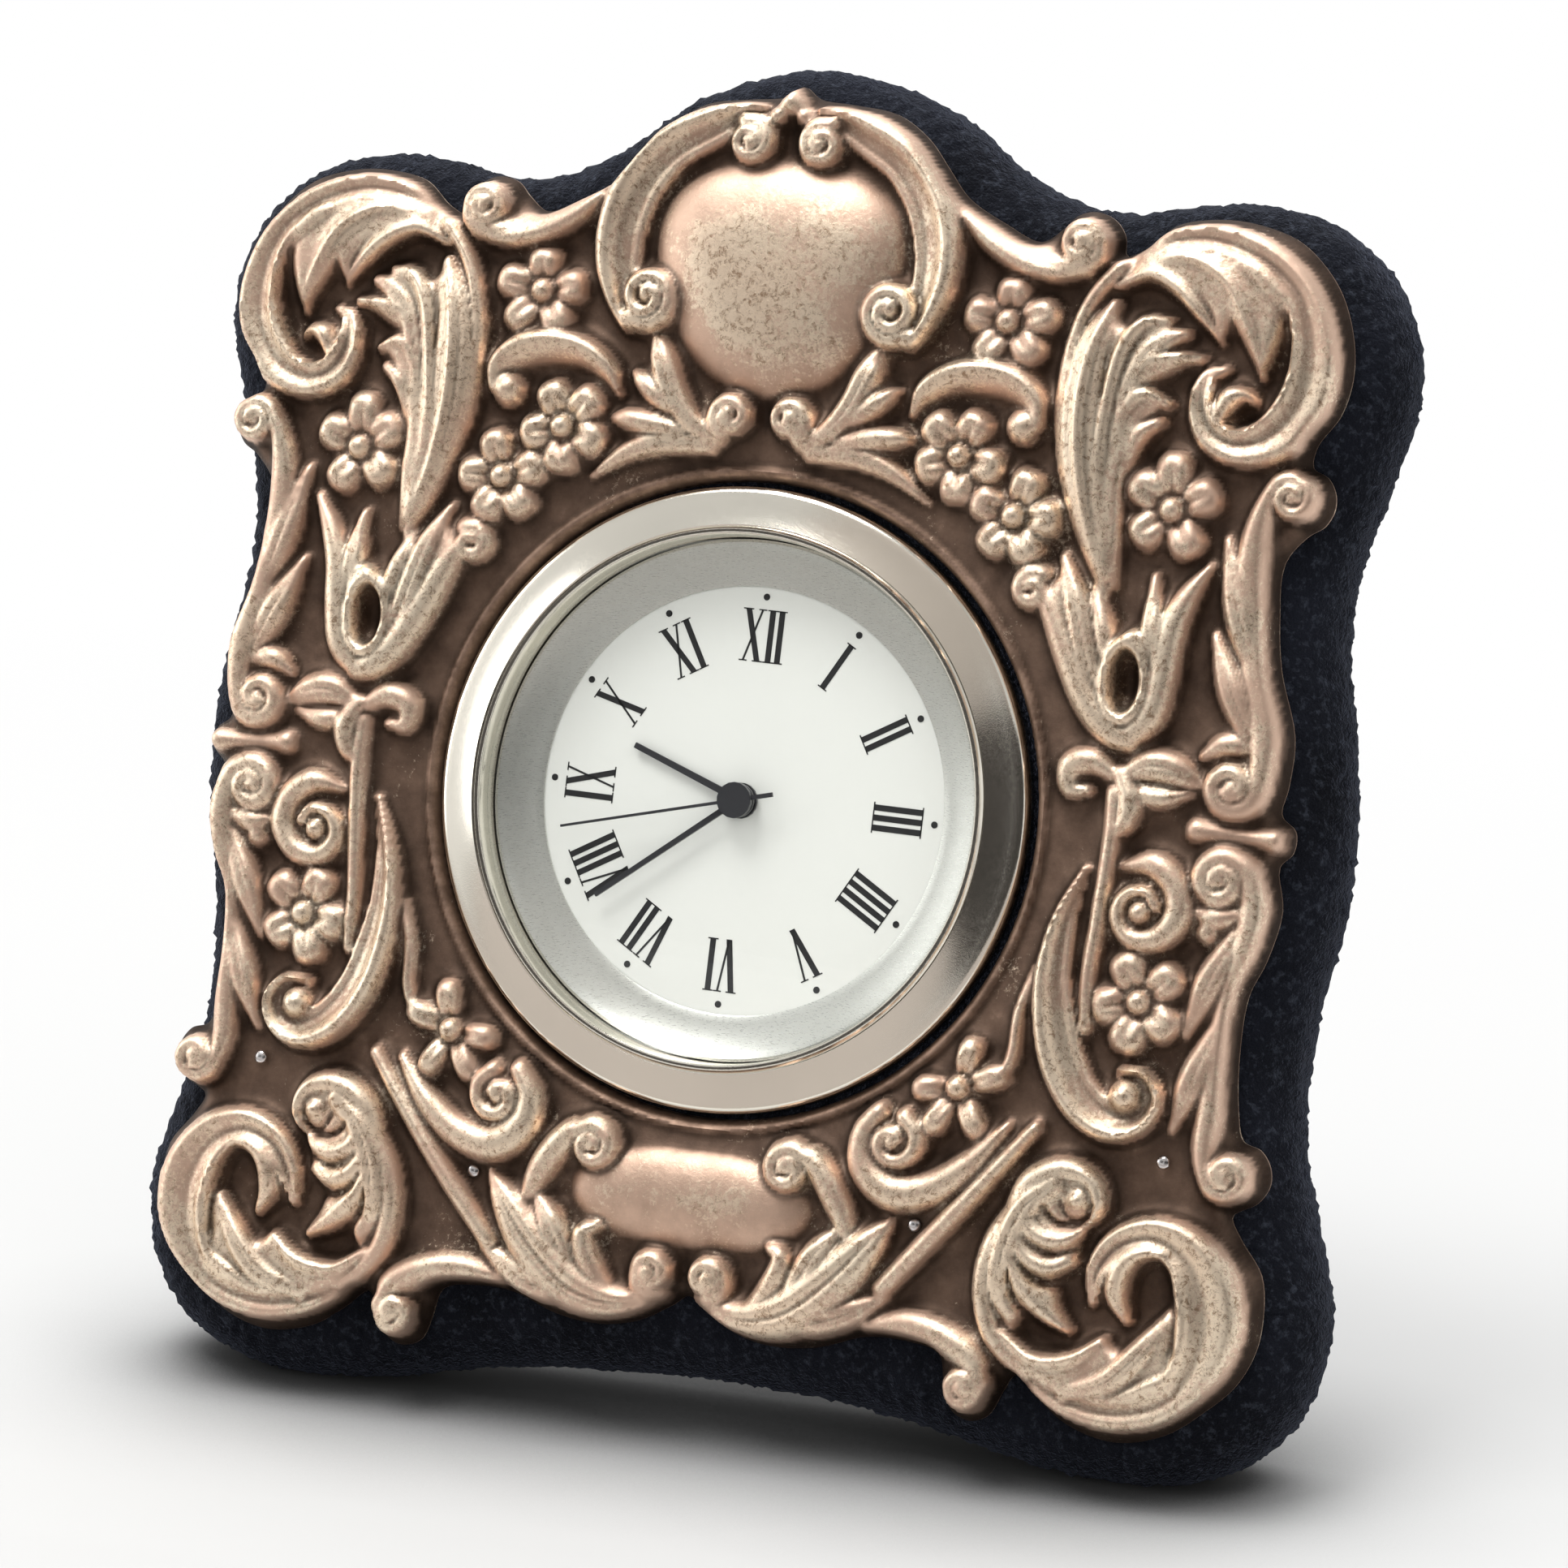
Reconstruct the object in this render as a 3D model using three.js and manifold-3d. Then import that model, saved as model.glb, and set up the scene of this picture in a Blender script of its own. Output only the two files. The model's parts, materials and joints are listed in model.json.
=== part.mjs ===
// Easel clock: a pressed silver front with scroll relief on a velvet covered board, a folding strut
// at the back, and a push-in quartz clock in the middle.
// Millimetres. In the clock's own frame x is to the right, y to the back and z up along the board,
// with the origin at the dial's centre on the front of the velvet. The whole clock then leans back.

import * as THREE from "three";
import { mergeVertices } from "three/addons/utils/BufferGeometryUtils.js";
import Module from "manifold-3d";

const wasm = await Module();
wasm.setup();

// Stand
const leanAngle = THREE.MathUtils.degToRad(15);
const strutAngle = THREE.MathUtils.degToRad(35);
const baseFlat = 0.5;

// Clearances: between seated pieces, and between the small pieces of the movement
const gap = 0.3;
const fit = 0.12;

// How far a cut runs past a face, and how far joined forms run into each other
const overcut = 1;
const overlap = 0.1;

// Frame
const frontWidth = 85;
const sheetThickness = 0.8;
const reliefHeight = 2.6;
const strokeSpread = 1.25;
const crestShare = 0.42;
const rimWidth = 1.6;
const rimHeight = 1.5;
const wrapThickness = 1.2;
const boardThickness = 8.4;
const panelThickness = 1.8;
const edgeRound = 5.5;
const boardInset = 3.2;
const panelInset = 6;
const accessRadius = 16.5;

// Strut and hinge
const strutTopWidth = 24;
const strutFootWidth = 42;
const strutCoreThickness = 2.1;
const strutCoverThickness = 0.8;
const strutEdge = 1;
const strutCorner = 3;
const strutFlare = 1;
const liningThickness = 0.5;
const footArch = 3;
const footPad = 4;
const hingeAboveHole = 6;
const hingeWidth = 16;
const leafThickness = 0.6;
const leafLength = 8;
const pinRadius = 0.45;
const knuckleWall = 0.35;

// Clock insert
const bezelRadius = 22.5;
const bezelRise = 1.5;
const bezelEdge = 0.7;
const lipRise = 0.5;
const lipWidth = 0.7;
const grooveWidth = 0.25;
const grooveDepth = 0.2;
const crystalRadius = 18.6;
const crystalEdge = 0.9;
const crystalDome = 0.9;
const skirtWall = 0.8;
const reflectorWall = 0.4;
const dialSight = 15.4;
const dialThickness = 0.4;
const handSpace = 2.2;
const ledgeWidth = 2.3;
const ledgeThickness = 1.2;
const caseWall = 0.9;
const caseDepth = 7.1;
const gripWall = 0.6;
const gripLength = 4.3;
const gripRibs = 3;
const caseBackThickness = 0.8;
const spigotLength = 1.5;

// Hands: length, width at the hub, hub radius, and the angle read clockwise from XII
const handThickness = 0.24;
const tipShare = 0.8;
const hourHand = { length: 9.1, width: 0.52, hub: 1.3, angle: 291 };
const minuteHand = { length: 12.9, width: 0.44, hub: 1.25, angle: 233 };
const secondHand = { length: 13.6, width: 0.22, hub: 1.3, angle: 257, tail: 2.9, tailWidth: 0.32, cap: 0.18 };

// Movement
const plateThickness = 0.8;
const bridgeThickness = 0.7;
const bridgeRadius = 9.4;
const bridgeX = -0.8;
const bridgeZ = 1.6;
const postRadius = 0.9;
const postSpots = [[-8.6, 5], [7, -1.5], [0.8, -6.9]];
const wheelThickness = 0.4;
const layerPitch = 0.95;
const arborRadius = 0.25;
const tubeWall = 0.2;
const motionDistance = 5;
const thirdDistance = 5.4;
const stepDistance = 5.6;
const rotorDistance = 3.84;
const rotorRadius = 1.25;
const statorThickness = 0.6;
const statorMargin = 1.1;
const statorCorner = 1;
const coilRadius = 1.6;
const coilLength = 11;
const coilZ = 13.4;
const armWidth = 2;
const cellRadius = 3.4;
const cellThickness = 3.2;
const cellStep = 0.5;
const cellX = 7.4;
const cellZ = -9;
const card = { x0: -11, x1: -1.5, z0: -15, z1: -9.2, thickness: 0.6 };
const quartzRadius = 1;
const quartzLength = 6;
const contactThickness = 0.3;
const contactRadius = 2;
const contactWidth = 1;
const contactDrop = 1.8;
const sideContactHeight = 3;
const knobRadius = 3;
const knobHeight = 1.3;
const knurls = 12;
const knurlDepth = 0.25;
const stemRadius = 0.6;
const hatchWall = 0.7;
const slotWidth = 1;
const slotLength = 5.2;
const slotDepth = 0.4;

// Teeth: height over and depth under the pitch circle in modules, half a pinion leaf in pitches, counts
const addendum = 0.7;
const dedendum = 1.1;
const leafShare = 0.3;
const teeth = {
  rotor: 6,
  step: 30,
  stepPinion: 6,
  second: 36,
  secondPinion: 6,
  third: 45,
  thirdPinion: 6,
  centre: 48,
  cannon: 8,
  minute: 24,
  minutePinion: 8,
  hour: 32,
  setting: 8,
};
const thirdWay = THREE.MathUtils.degToRad(200);
const stepWay = THREE.MathUtils.degToRad(60);
const rotorWay = THREE.MathUtils.degToRad(80);
const minuteWay = THREE.MathUtils.degToRad(300);
const settingPitches = 8;

// Levels along y, from the crystal to the back of the case
const seatY = -gap;
const bezelFront = seatY - bezelEdge - bezelRise;
const lipFront = bezelFront - lipRise;
const crystalFront = bezelFront + gap;
const crystalBack = crystalFront + crystalEdge;
const dialFront = crystalBack + handSpace;
const dialBack = dialFront + dialThickness;
const ledgeFront = dialBack + gap;
const ledgeBack = ledgeFront + ledgeThickness;
const plateFront = ledgeBack + gap;
const plateBack = plateFront + plateThickness;
const caseBackY = ledgeFront + caseDepth;
const recessRadius = crystalRadius + gap;
const caseRadius = recessRadius + caseWall;
const boreRadius = caseRadius + gap + gripWall + gap;
const openingRadius = bezelRadius + gap;
const backY = wrapThickness + gap + boardThickness + gap + panelThickness;

// A closed geometry as a solid that can be joined and cut
function solidOf(geometry) {
  const bare = geometry.index ? geometry.toNonIndexed() : geometry.clone();
  bare.deleteAttribute("normal");
  bare.deleteAttribute("uv");
  const merged = mergeVertices(bare, 1e-4);
  const corners = merged.index.array;
  const kept = [];
  for (let i = 0; i < corners.length; i += 3) {
    const [a, b, c] = corners.slice(i, i + 3);
    if (a !== b && b !== c && c !== a) kept.push(a, b, c);
  }
  const triVerts = new Uint32Array(kept);
  const vertProperties = merged.attributes.position.array;
  return new wasm.Manifold(new wasm.Mesh({ numProp: 3, vertProperties, triVerts }));
}

function geometryOf(solid) {
  const { vertProperties, triVerts } = solid.getMesh();
  const geometry = new THREE.BufferGeometry();
  geometry.setAttribute("position", new THREE.BufferAttribute(vertProperties, 3));
  geometry.setIndex(new THREE.BufferAttribute(triVerts, 1));
  return geometry;
}

const joined = (first, ...rest) => rest.reduce((sum, next) => sum.add(next), first);
const cutBy = (first, ...rest) => rest.reduce((left, tool) => left.subtract(tool), first);

// A shape drawn in x and z, thick from y0 to y1
function slab(shape, y0, y1, curveSegments = 6) {
  const options = { depth: y1 - y0, bevelEnabled: false, curveSegments };
  const geometry = new THREE.ExtrudeGeometry(shape, options);
  return solidOf(geometry.rotateX(Math.PI / 2).translate(0, y1, 0));
}

// A profile of [radius, y] pairs turned round an axis along y at x, z
function turned(profile, segments = 40, x = 0, z = 0) {
  let points = profile.map(([r, y]) => new THREE.Vector2(r, y));
  const onAxis = profile[0][0] === 0 && profile[profile.length - 1][0] === 0;
  if (THREE.ShapeUtils.area(points) < 0) points = points.reverse();
  if (!onAxis) points.push(points[0].clone());
  return solidOf(new THREE.LatheGeometry(points, segments).translate(x, 0, z));
}

function rod(radius, y0, y1, segments = 8, x = 0, z = 0) {
  const profile = [[0, y0], [radius, y0], [radius, y1], [0, y1]];
  return turned(profile, segments, x, z);
}

function ring(inner, outer, y0, y1, segments = 40, x = 0, z = 0) {
  const profile = [[inner, y0], [outer, y0], [outer, y1], [inner, y1]];
  return turned(profile, segments, x, z);
}

function box(x0, x1, y0, y1, z0, z1) {
  const geometry = new THREE.BoxGeometry(x1 - x0, y1 - y0, z1 - z0);
  return solidOf(geometry.translate((x0 + x1) / 2, (y0 + y1) / 2, (z0 + z1) / 2));
}

// A toothed shape: pinions have leaves with flat roots between them, wheels have pointed teeth
function toothed(count, module, phase, pinion) {
  const pitch = (count * module) / 2;
  const tip = pitch + addendum * module;
  const root = pitch - dedendum * module;
  const leaf = [[-leafShare, root], [0, tip], [leafShare, root]];
  const tooth = pinion ? leaf : [[0, tip], [0.5, root]];
  const points = [];
  for (let i = 0; i < count; i += 1) {
    for (const [share, radius] of tooth) {
      const angle = phase + ((i + share) * 2 * Math.PI) / count;
      points.push(new THREE.Vector2(radius * Math.cos(angle), radius * Math.sin(angle)));
    }
  }
  return new THREE.Shape(points);
}

// The phase that puts a gap between two wheel teeth in a direction, where a pinion's leaf points at it
const gapAt = (way, count) => way + Math.PI / count;
const moduleFor = (distance, first, second) => (2 * distance) / (first + second);

// The right half of the ornament, drawn as [x, z] from the dial's centre
const silverHalf = [
  [0, 50.4], [4, 50], [7.3, 49.6], [9.8, 48], [11.5, 46], [13.2, 44], [16, 42.6], [19, 41.2], [24, 40.8],
  [26.8, 41.2], [28.8, 42.9], [31.6, 43.5], [34.4, 43.4], [37.5, 42.5], [39.5, 41], [41.2, 38.8],
  [42.3, 35.7], [42.5, 33], [41.9, 30.5], [40.4, 28.2], [39.2, 25], [38.9, 20], [38.9, 16], [39.4, 12.5],
  [40.8, 8], [40.8, 4], [40.6, 1], [41, -4], [40.3, -7.6], [39.3, -10], [39, -13.7], [39.2, -19],
  [39.2, -24.5], [40.4, -26.9], [42.1, -29.2], [42.5, -32], [42.2, -34.5], [41, -37], [39, -39],
  [36.5, -40.9], [34, -41.8], [31.8, -41.9], [29, -41.1], [26.8, -39.6], [24, -37.6], [18.5, -36.8],
  [14.5, -36.6], [12.4, -37.2], [10, -38.1], [6.4, -38.4], [3.7, -37.8], [1.2, -36.2], [0, -35.6],
];
const boardHalf = [
  [0, 53.1], [5, 52.3], [10.5, 50], [15, 46.7], [19.5, 44.6], [24, 44], [28.5, 44.8], [33.5, 45.2],
  [38.5, 44.1], [42.4, 41.3], [44.9, 37], [45.5, 32.5], [44.3, 27], [42.6, 21], [42.1, 15], [43.2, 8.5],
  [43.9, 2.5], [43.7, -4], [42.6, -10], [42.1, -16], [42.6, -21.5], [44.3, -27], [45.5, -32.5],
  [44.5, -38.2], [41.2, -42.5], [35.8, -45], [30, -45.3], [25, -44.8], [19, -43.5], [12, -42.5], [0, -41.9],
];
const unit = frontWidth / (2 * Math.max(...silverHalf.map(([x]) => x)));

// A closed outline through the half's points and their mirror images, at even steps
function outlineOf(half, count) {
  const right = half.map(([x, z]) => new THREE.Vector3(x * unit, z * unit, 0));
  const left = half.slice(1, -1).map(([x, z]) => new THREE.Vector3(-x * unit, z * unit, 0));
  const curve = new THREE.CatmullRomCurve3([...right, ...left.reverse()], true, "centripetal");
  const points = curve.getSpacedPoints(count).slice(0, count);
  return points.map((p) => new THREE.Vector2(p.x, p.y)).reverse();
}

// The outline moved inwards along its normals
function inset(points, distance) {
  const count = points.length;
  return points.map((p, i) => {
    const along = points[(i + 1) % count].clone().sub(points[(i + count - 1) % count]).normalize();
    return new THREE.Vector2(p.x - along.y * distance, p.y + along.x * distance);
  });
}

// A solid through rings of equal count, each an outline at its own y, from the front to the back
function loft(rings) {
  const count = rings[0].outline.length;
  const positions = [];
  for (const { outline, y } of rings) {
    for (const p of outline) positions.push(p.x, y, p.y);
  }
  const faces = [];
  for (let k = 0; k + 1 < rings.length; k += 1) {
    for (let i = 0; i < count; i += 1) {
      const j = (i + 1) % count;
      const [a, b, c, d] = [k * count + i, k * count + j, (k + 1) * count + j, (k + 1) * count + i];
      faces.push(a, c, b, a, d, c);
    }
  }
  const last = (rings.length - 1) * count;
  for (const [a, b, c] of THREE.ShapeUtils.triangulateShape(rings[0].outline, [])) faces.push(a, b, c);
  for (const [a, b, c] of THREE.ShapeUtils.triangulateShape(rings[rings.length - 1].outline, [])) {
    faces.push(last + a, last + c, last + b);
  }
  const geometry = new THREE.BufferGeometry();
  geometry.setAttribute("position", new THREE.Float32BufferAttribute(positions, 3));
  geometry.setIndex(faces);
  return solidOf(geometry);
}

// A raised stroke of the relief along a path of [x, z, half width, share of the relief's height]
function ridge(path, mirror) {
  const point = ([x, z]) => new THREE.Vector3(mirror * x * unit, 0, z * unit);
  const curve = new THREE.CatmullRomCurve3(path.map(point), false, "centripetal");
  const steps = path.length - 1;
  const rings = path.map(([, , halfWidth, share], k) => {
    const along = curve.getTangent(k / steps);
    const side = new THREE.Vector3(-along.z, 0, along.x).multiplyScalar(halfWidth * strokeSpread * unit);
    const front = seatY - sheetThickness - share * reliefHeight;
    const corner = (across, y) => point(path[k]).addScaledVector(side, across).setY(y);
    const crest = [corner(-crestShare, front), corner(crestShare, front)];
    return [corner(-1, seatY), ...crest, corner(1, seatY)];
  });
  const positions = rings.flat().flatMap((p) => [p.x, p.y, p.z]);
  const faces = [];
  for (let k = 0; k < steps; k += 1) {
    for (let i = 0; i < 4; i += 1) {
      const j = (i + 1) % 4;
      const [a, b, c, d] = [4 * k + i, 4 * k + j, 4 * k + 4 + j, 4 * k + 4 + i];
      faces.push(a, c, b, a, d, c);
    }
  }
  const last = 4 * steps;
  faces.push(0, 1, 2, 0, 2, 3, last, last + 2, last + 1, last, last + 3, last + 2);
  const geometry = new THREE.BufferGeometry();
  geometry.setAttribute("position", new THREE.Float32BufferAttribute(positions, 3));
  geometry.setIndex(faces);
  return solidOf(geometry);
}

// A round boss of the relief, such as the eye of a scroll
function boss([x, z, radius, share], mirror) {
  const front = seatY - sheetThickness - share * reliefHeight;
  const r = radius * unit;
  const shoulder = THREE.MathUtils.lerp(front, seatY - sheetThickness, 0.35);
  const profile = [[0, front], [0.7 * r, shoulder], [r, seatY], [0, seatY]];
  return turned(profile, 6, mirror * x * unit, z * unit);
}

// A flower of five round petals, cupped towards a raised middle
function flower([x, z, radius, turn, share], mirror) {
  const petals = 5;
  const sector = (2 * Math.PI) / petals;
  const petal = [[-0.5, 0.72], [-0.24, 1], [0.24, 1]];
  const sheetFront = seatY - sheetThickness;
  const rise = (height) => sheetFront - height * share * reliefHeight;
  const ringAt = (reach, y) => {
    const points = [];
    for (let i = 0; i < petals; i += 1) {
      for (const [across, length] of petal) {
        const angle = THREE.MathUtils.degToRad(turn) + (i + across) * sector;
        const r = reach * length * radius * unit;
        const px = mirror * (x * unit + r * Math.cos(angle));
        points.push(new THREE.Vector2(px, z * unit + r * Math.sin(angle)));
      }
    }
    return { outline: mirror > 0 ? points : points.reverse(), y };
  };
  const levels = [ringAt(0.36, rise(0.55)), ringAt(0.78, rise(0.85)), ringAt(1, seatY)];
  const middle = [x, z, 0.34 * radius, share];
  return joined(loft(levels), boss(middle, mirror));
}

// Scrolls, leaves and stems of the right half
const strokes = [
  // cartouche scroll and the arm that runs to the end volute
  [[1.6, 48.2, 0.6, 0.6], [4.6, 49.3, 0.8, 0.8], [8.8, 47.9, 0.9, 0.95], [12.1, 44, 0.9, 1],
    [13.5, 39.6, 0.9, 1], [12.9, 35.4, 0.85, 0.95], [10.1, 33.2, 0.7, 0.85], [8, 35, 0.6, 0.8],
    [9.2, 37.4, 0.35, 0.7]],
  [[13.6, 43.8, 0.7, 0.8], [17, 41.3, 0.9, 0.75], [21.4, 39.4, 0.8, 0.75], [24.1, 40.8, 0.75, 0.8],
    [22.9, 43, 0.6, 0.75], [21.5, 42.2, 0.45, 0.7]],
  // upper corner scroll and the leaf that droops into it
  [[28.6, 42.2, 0.6, 0.6], [33.2, 42.9, 0.9, 0.8], [38, 41.1, 1, 0.85], [41, 36.8, 1.1, 0.85],
    [41.1, 31.2, 1.1, 0.85], [38, 27.6, 1, 0.9], [33.7, 28.2, 0.95, 0.85], [32.4, 31.2, 0.75, 0.8],
    [33.8, 32.9, 0.4, 0.7]],
  [[25.8, 39.1, 0.8, 0.7], [28.8, 40.3, 1.3, 0.85], [32.2, 39.4, 1.6, 0.9], [34.8, 36.6, 1.3, 0.85],
    [36.4, 33.2, 0.3, 0.6]],
  // plume of three lobes
  [[27.4, 16.2, 0.3, 0.6], [25.8, 20.5, 1.1, 0.8], [24.6, 25, 1.5, 0.95], [24, 30, 1.7, 1],
    [24.2, 34, 1.5, 0.95], [25.8, 36.8, 0.4, 0.7]],
  [[26.2, 22, 0.6, 0.7], [26.8, 27.5, 1.3, 0.9], [28.6, 32.5, 1.5, 0.9], [31.4, 35, 0.4, 0.6]],
  [[26.6, 21.5, 0.4, 0.6], [27.8, 25.4, 0.9, 0.75], [29.6, 29.8, 0.3, 0.5]],
  // side scroll above the bar, with two blades
  [[41.2, 23.2, 0.5, 0.6], [41, 25.8, 0.65, 0.7], [38.2, 25.4, 0.75, 0.7], [37.5, 21.5, 0.7, 0.65],
    [38.2, 15.5, 0.8, 0.65], [39.6, 7.8, 0.9, 0.65], [38.8, 3.1, 0.8, 0.65], [36.3, 3.6, 0.65, 0.65],
    [36.6, 6, 0.4, 0.6]],
  [[35.2, 20.9, 0.25, 0.4], [36.3, 17, 0.8, 0.6], [37.8, 13.2, 0.5, 0.5]],
  [[35, 14.3, 0.25, 0.4], [36.4, 11, 0.8, 0.6], [38.3, 8.2, 0.5, 0.5]],
  // bellflower, its bow leaves and the stem below
  [[29.2, 6.6, 0.8, 0.7], [26.9, 8.8, 1.1, 0.85], [25.2, 12.4, 1.2, 0.9], [24.4, 15.8, 1.1, 0.85],
    [23.4, 18.6, 0.3, 0.5]],
  [[29.6, 6.6, 0.8, 0.7], [31.5, 9, 1, 0.85], [31.9, 13, 1, 0.85], [32.6, 16.4, 0.8, 0.75],
    [34.1, 18.9, 0.3, 0.4]],
  [[28.4, 13.4, 0.6, 0.75], [30, 15.4, 0.8, 0.7], [30.3, 17.8, 0.25, 0.5]],
  [[34.7, 4.1, 0.2, 0.4], [31.6, 4.8, 0.8, 0.6], [26.8, 4.8, 0.8, 0.6], [24.8, 3.8, 0.3, 0.4]],
  [[28.8, 3.4, 0.5, 0.5], [28.9, 0, 0.5, 0.55], [28.5, -6, 0.5, 0.55], [28.2, -10, 0.5, 0.55],
    [28.4, -13.4, 0.4, 0.5]],
  [[34.9, 1.05, 0.7, 0.35], [37.8, 0.9, 0.5, 0.35], [40.8, 0.8, 0.7, 0.35]],
  // side scroll below the bar, with two blades
  [[36.2, -3.2, 0.4, 0.6], [36.9, -0.8, 0.65, 0.65], [39.5, -2, 0.75, 0.65], [39.8, -6.4, 0.8, 0.65],
    [38.3, -13.2, 0.8, 0.65], [37.8, -20.6, 0.7, 0.65], [39.4, -24, 0.7, 0.65], [41.4, -22.6, 0.55, 0.6]],
  [[38.3, -6.6, 0.5, 0.5], [36.8, -9.6, 0.8, 0.6], [35.8, -12.8, 0.25, 0.4]],
  [[37.4, -13.4, 0.5, 0.5], [36.2, -16.4, 0.8, 0.6], [35.5, -19.4, 0.25, 0.4]],
  // spiral, long scroll and low spiral beside the opening
  [[30.3, -2.2, 0.35, 0.6], [33.1, -1.9, 0.65, 0.7], [34.1, -4.8, 0.7, 0.75], [32.2, -6.8, 0.6, 0.7],
    [30.4, -6.2, 0.35, 0.6]],
  [[27, -2.9, 0.35, 0.6], [25.1, -8, 0.9, 0.85], [25.2, -13.6, 1.2, 0.95], [27.6, -18.4, 1.2, 0.95],
    [31.4, -20.7, 0.9, 0.85], [33.5, -19.2, 0.8, 0.8], [33.2, -17, 0.45, 0.7]],
  [[22.8, -21.4, 0.3, 0.5], [19.6, -25, 0.95, 0.8], [15.6, -26.4, 1.1, 0.9], [12.8, -24.2, 0.9, 0.85],
    [13.6, -21.4, 0.65, 0.8], [16.6, -21.6, 0.35, 0.7]],
  [[25.3, -20.8, 0.6, 0.5], [21.2, -26, 0.6, 0.6], [17.2, -31, 0.6, 0.6], [15.2, -33, 0.5, 0.5]],
  // lower corner: comma leaf with its lobes, then the large scroll and its leaf
  [[30.2, -24.3, 0.5, 0.7], [27.4, -23.6, 0.9, 0.85], [24, -27, 1.25, 0.9], [23.1, -32.4, 1.2, 0.85],
    [26, -37, 0.8, 0.7]],
  [[24.6, -28.5, 0.8, 0.7], [27, -28.6, 0.9, 0.7], [29.2, -29.2, 0.25, 0.5]],
  [[24.2, -31.5, 0.8, 0.7], [27.2, -32.4, 1, 0.7], [30.1, -33.8, 0.25, 0.5]],
  [[26.4, -38.4, 0.6, 0.6], [30.6, -40.5, 1, 0.7], [35.8, -40, 1.2, 0.8], [40, -36.4, 1.25, 0.85],
    [41, -30.6, 1.2, 0.85], [37.8, -26.9, 1.1, 0.85], [33.6, -27.8, 0.9, 0.8], [32.9, -30.6, 0.5, 0.7]],
  [[31, -38, 0.5, 0.5], [35.2, -35.6, 1.1, 0.75], [37.4, -32.8, 0.3, 0.5]],
  // small scroll on the lower edge, bracket of the lower cartouche, and the leaf under it
  [[14.6, -35.9, 0.5, 0.5], [19.2, -35.6, 0.8, 0.65], [23, -37.6, 0.8, 0.65], [23.2, -40.4, 0.7, 0.65],
    [20.8, -40.4, 0.4, 0.6]],
  [[6.3, -25, 0.45, 0.7], [7.3, -24.3, 0.65, 0.75], [9.3, -24.9, 0.75, 0.75], [10.9, -27, 0.7, 0.7],
    [11.8, -29.2, 0.35, 0.5]],
  [[3.9, -36.6, 0.9, 0.7], [7.4, -36.5, 1.5, 0.8], [11, -33.6, 1.7, 0.85], [13.4, -30.6, 1.2, 0.8],
    [15, -28.8, 0.3, 0.5]],
  [[9, -35.6, 0.9, 0.6], [12.4, -35, 1, 0.65], [15.2, -33.9, 0.25, 0.5]],
  // arc leaf over the flower cluster, and the leaves under the cartouche
  [[10.8, 28.6, 0.3, 0.6], [13, 30.4, 0.7, 0.8], [16.5, 31.2, 0.9, 0.9], [19.4, 30.6, 1, 0.9],
    [20.6, 29, 0.9, 0.85]],
  [[3.2, 26.4, 0.9, 0.8], [5.6, 28.2, 1.3, 0.9], [7.6, 31.4, 0.3, 0.6]],
  [[4.4, 26.2, 0.8, 0.8], [7.6, 27.6, 1.1, 0.85], [9.6, 29.4, 0.3, 0.6]],
  [[4.6, 25.3, 0.8, 0.75], [8, 25.8, 1.1, 0.8], [10.9, 26.2, 0.5, 0.6]],
];
// Eyes of scrolls and balls: [x, z, radius, share of the relief's height]
const bosses = [
  [2.6, 47, 1.4, 0.85], [9.7, 35.5, 1, 0.95], [22.6, 41.3, 0.8, 0.8], [39.8, 24.4, 0.8, 0.75],
  [39.6, -22.4, 0.9, 0.7], [31.9, -4.5, 1.2, 0.8], [31.6, -18, 1.2, 0.85], [15.1, -23.1, 1.1, 0.85],
  [29.2, -25.9, 0.9, 0.8], [2.2, -34.2, 1.4, 0.8], [19.7, 28, 1.3, 0.9], [1.9, 27.4, 1.2, 0.9],
  [21.6, 16.8, 1.1, 0.7],
];
const topBoss = [0, 50, 1.3, 0.6];
// Flowers: [x, z, radius, turn in degrees, share of the relief's height]
const flowers = [
  [18.3, 35.6, 3.4, 20, 0.9], [15.3, 25.7, 3.6, 60, 1], [20.1, 21.8, 3.5, 0, 0.95],
  [31.5, 23.3, 3.5, 10, 0.8], [32.2, -11.2, 3.6, 40, 0.8], [19.6, -18.6, 3.2, 0, 0.95],
];
// Round scroll ends that stand out past the sheet's outline: [x, z, radius]
const scrollEnds = [[22.5, 41.3, 2.2], [39.9, 24.4, 2.1], [39.7, -22.4, 2.2], [22, -39.4, 2.4]];

// Cartouche domes: [x, z] of the right half, with the height as a share of the relief's height
const upperCartouche = {
  half: [[0, 45.4], [4, 45], [7.6, 43.2], [8.8, 40.6], [8, 37], [6.8, 34], [5.4, 31], [3, 29], [0, 28.4]],
  share: 1.05,
};
const lowerCartouche = {
  half: [[0, -25.2], [5, -25.6], [8.6, -27], [9.4, -28.8], [7.8, -30.8], [4, -32], [0, -32.2]],
  share: 0.8,
};
// Steps of a dome: [distance inside its outline, share of its height]
const domeSteps = [[2.2, 1], [1.1, 0.85], [0.3, 0.5]];

function dome({ half, share }) {
  const base = outlineOf(half, 24);
  const front = seatY - sheetThickness;
  const levels = domeSteps.map(([inward, height]) => ({
    outline: inset(base, inward * unit),
    y: front - height * share * reliefHeight,
  }));
  return loft([...levels, { outline: base, y: seatY }]);
}

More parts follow.
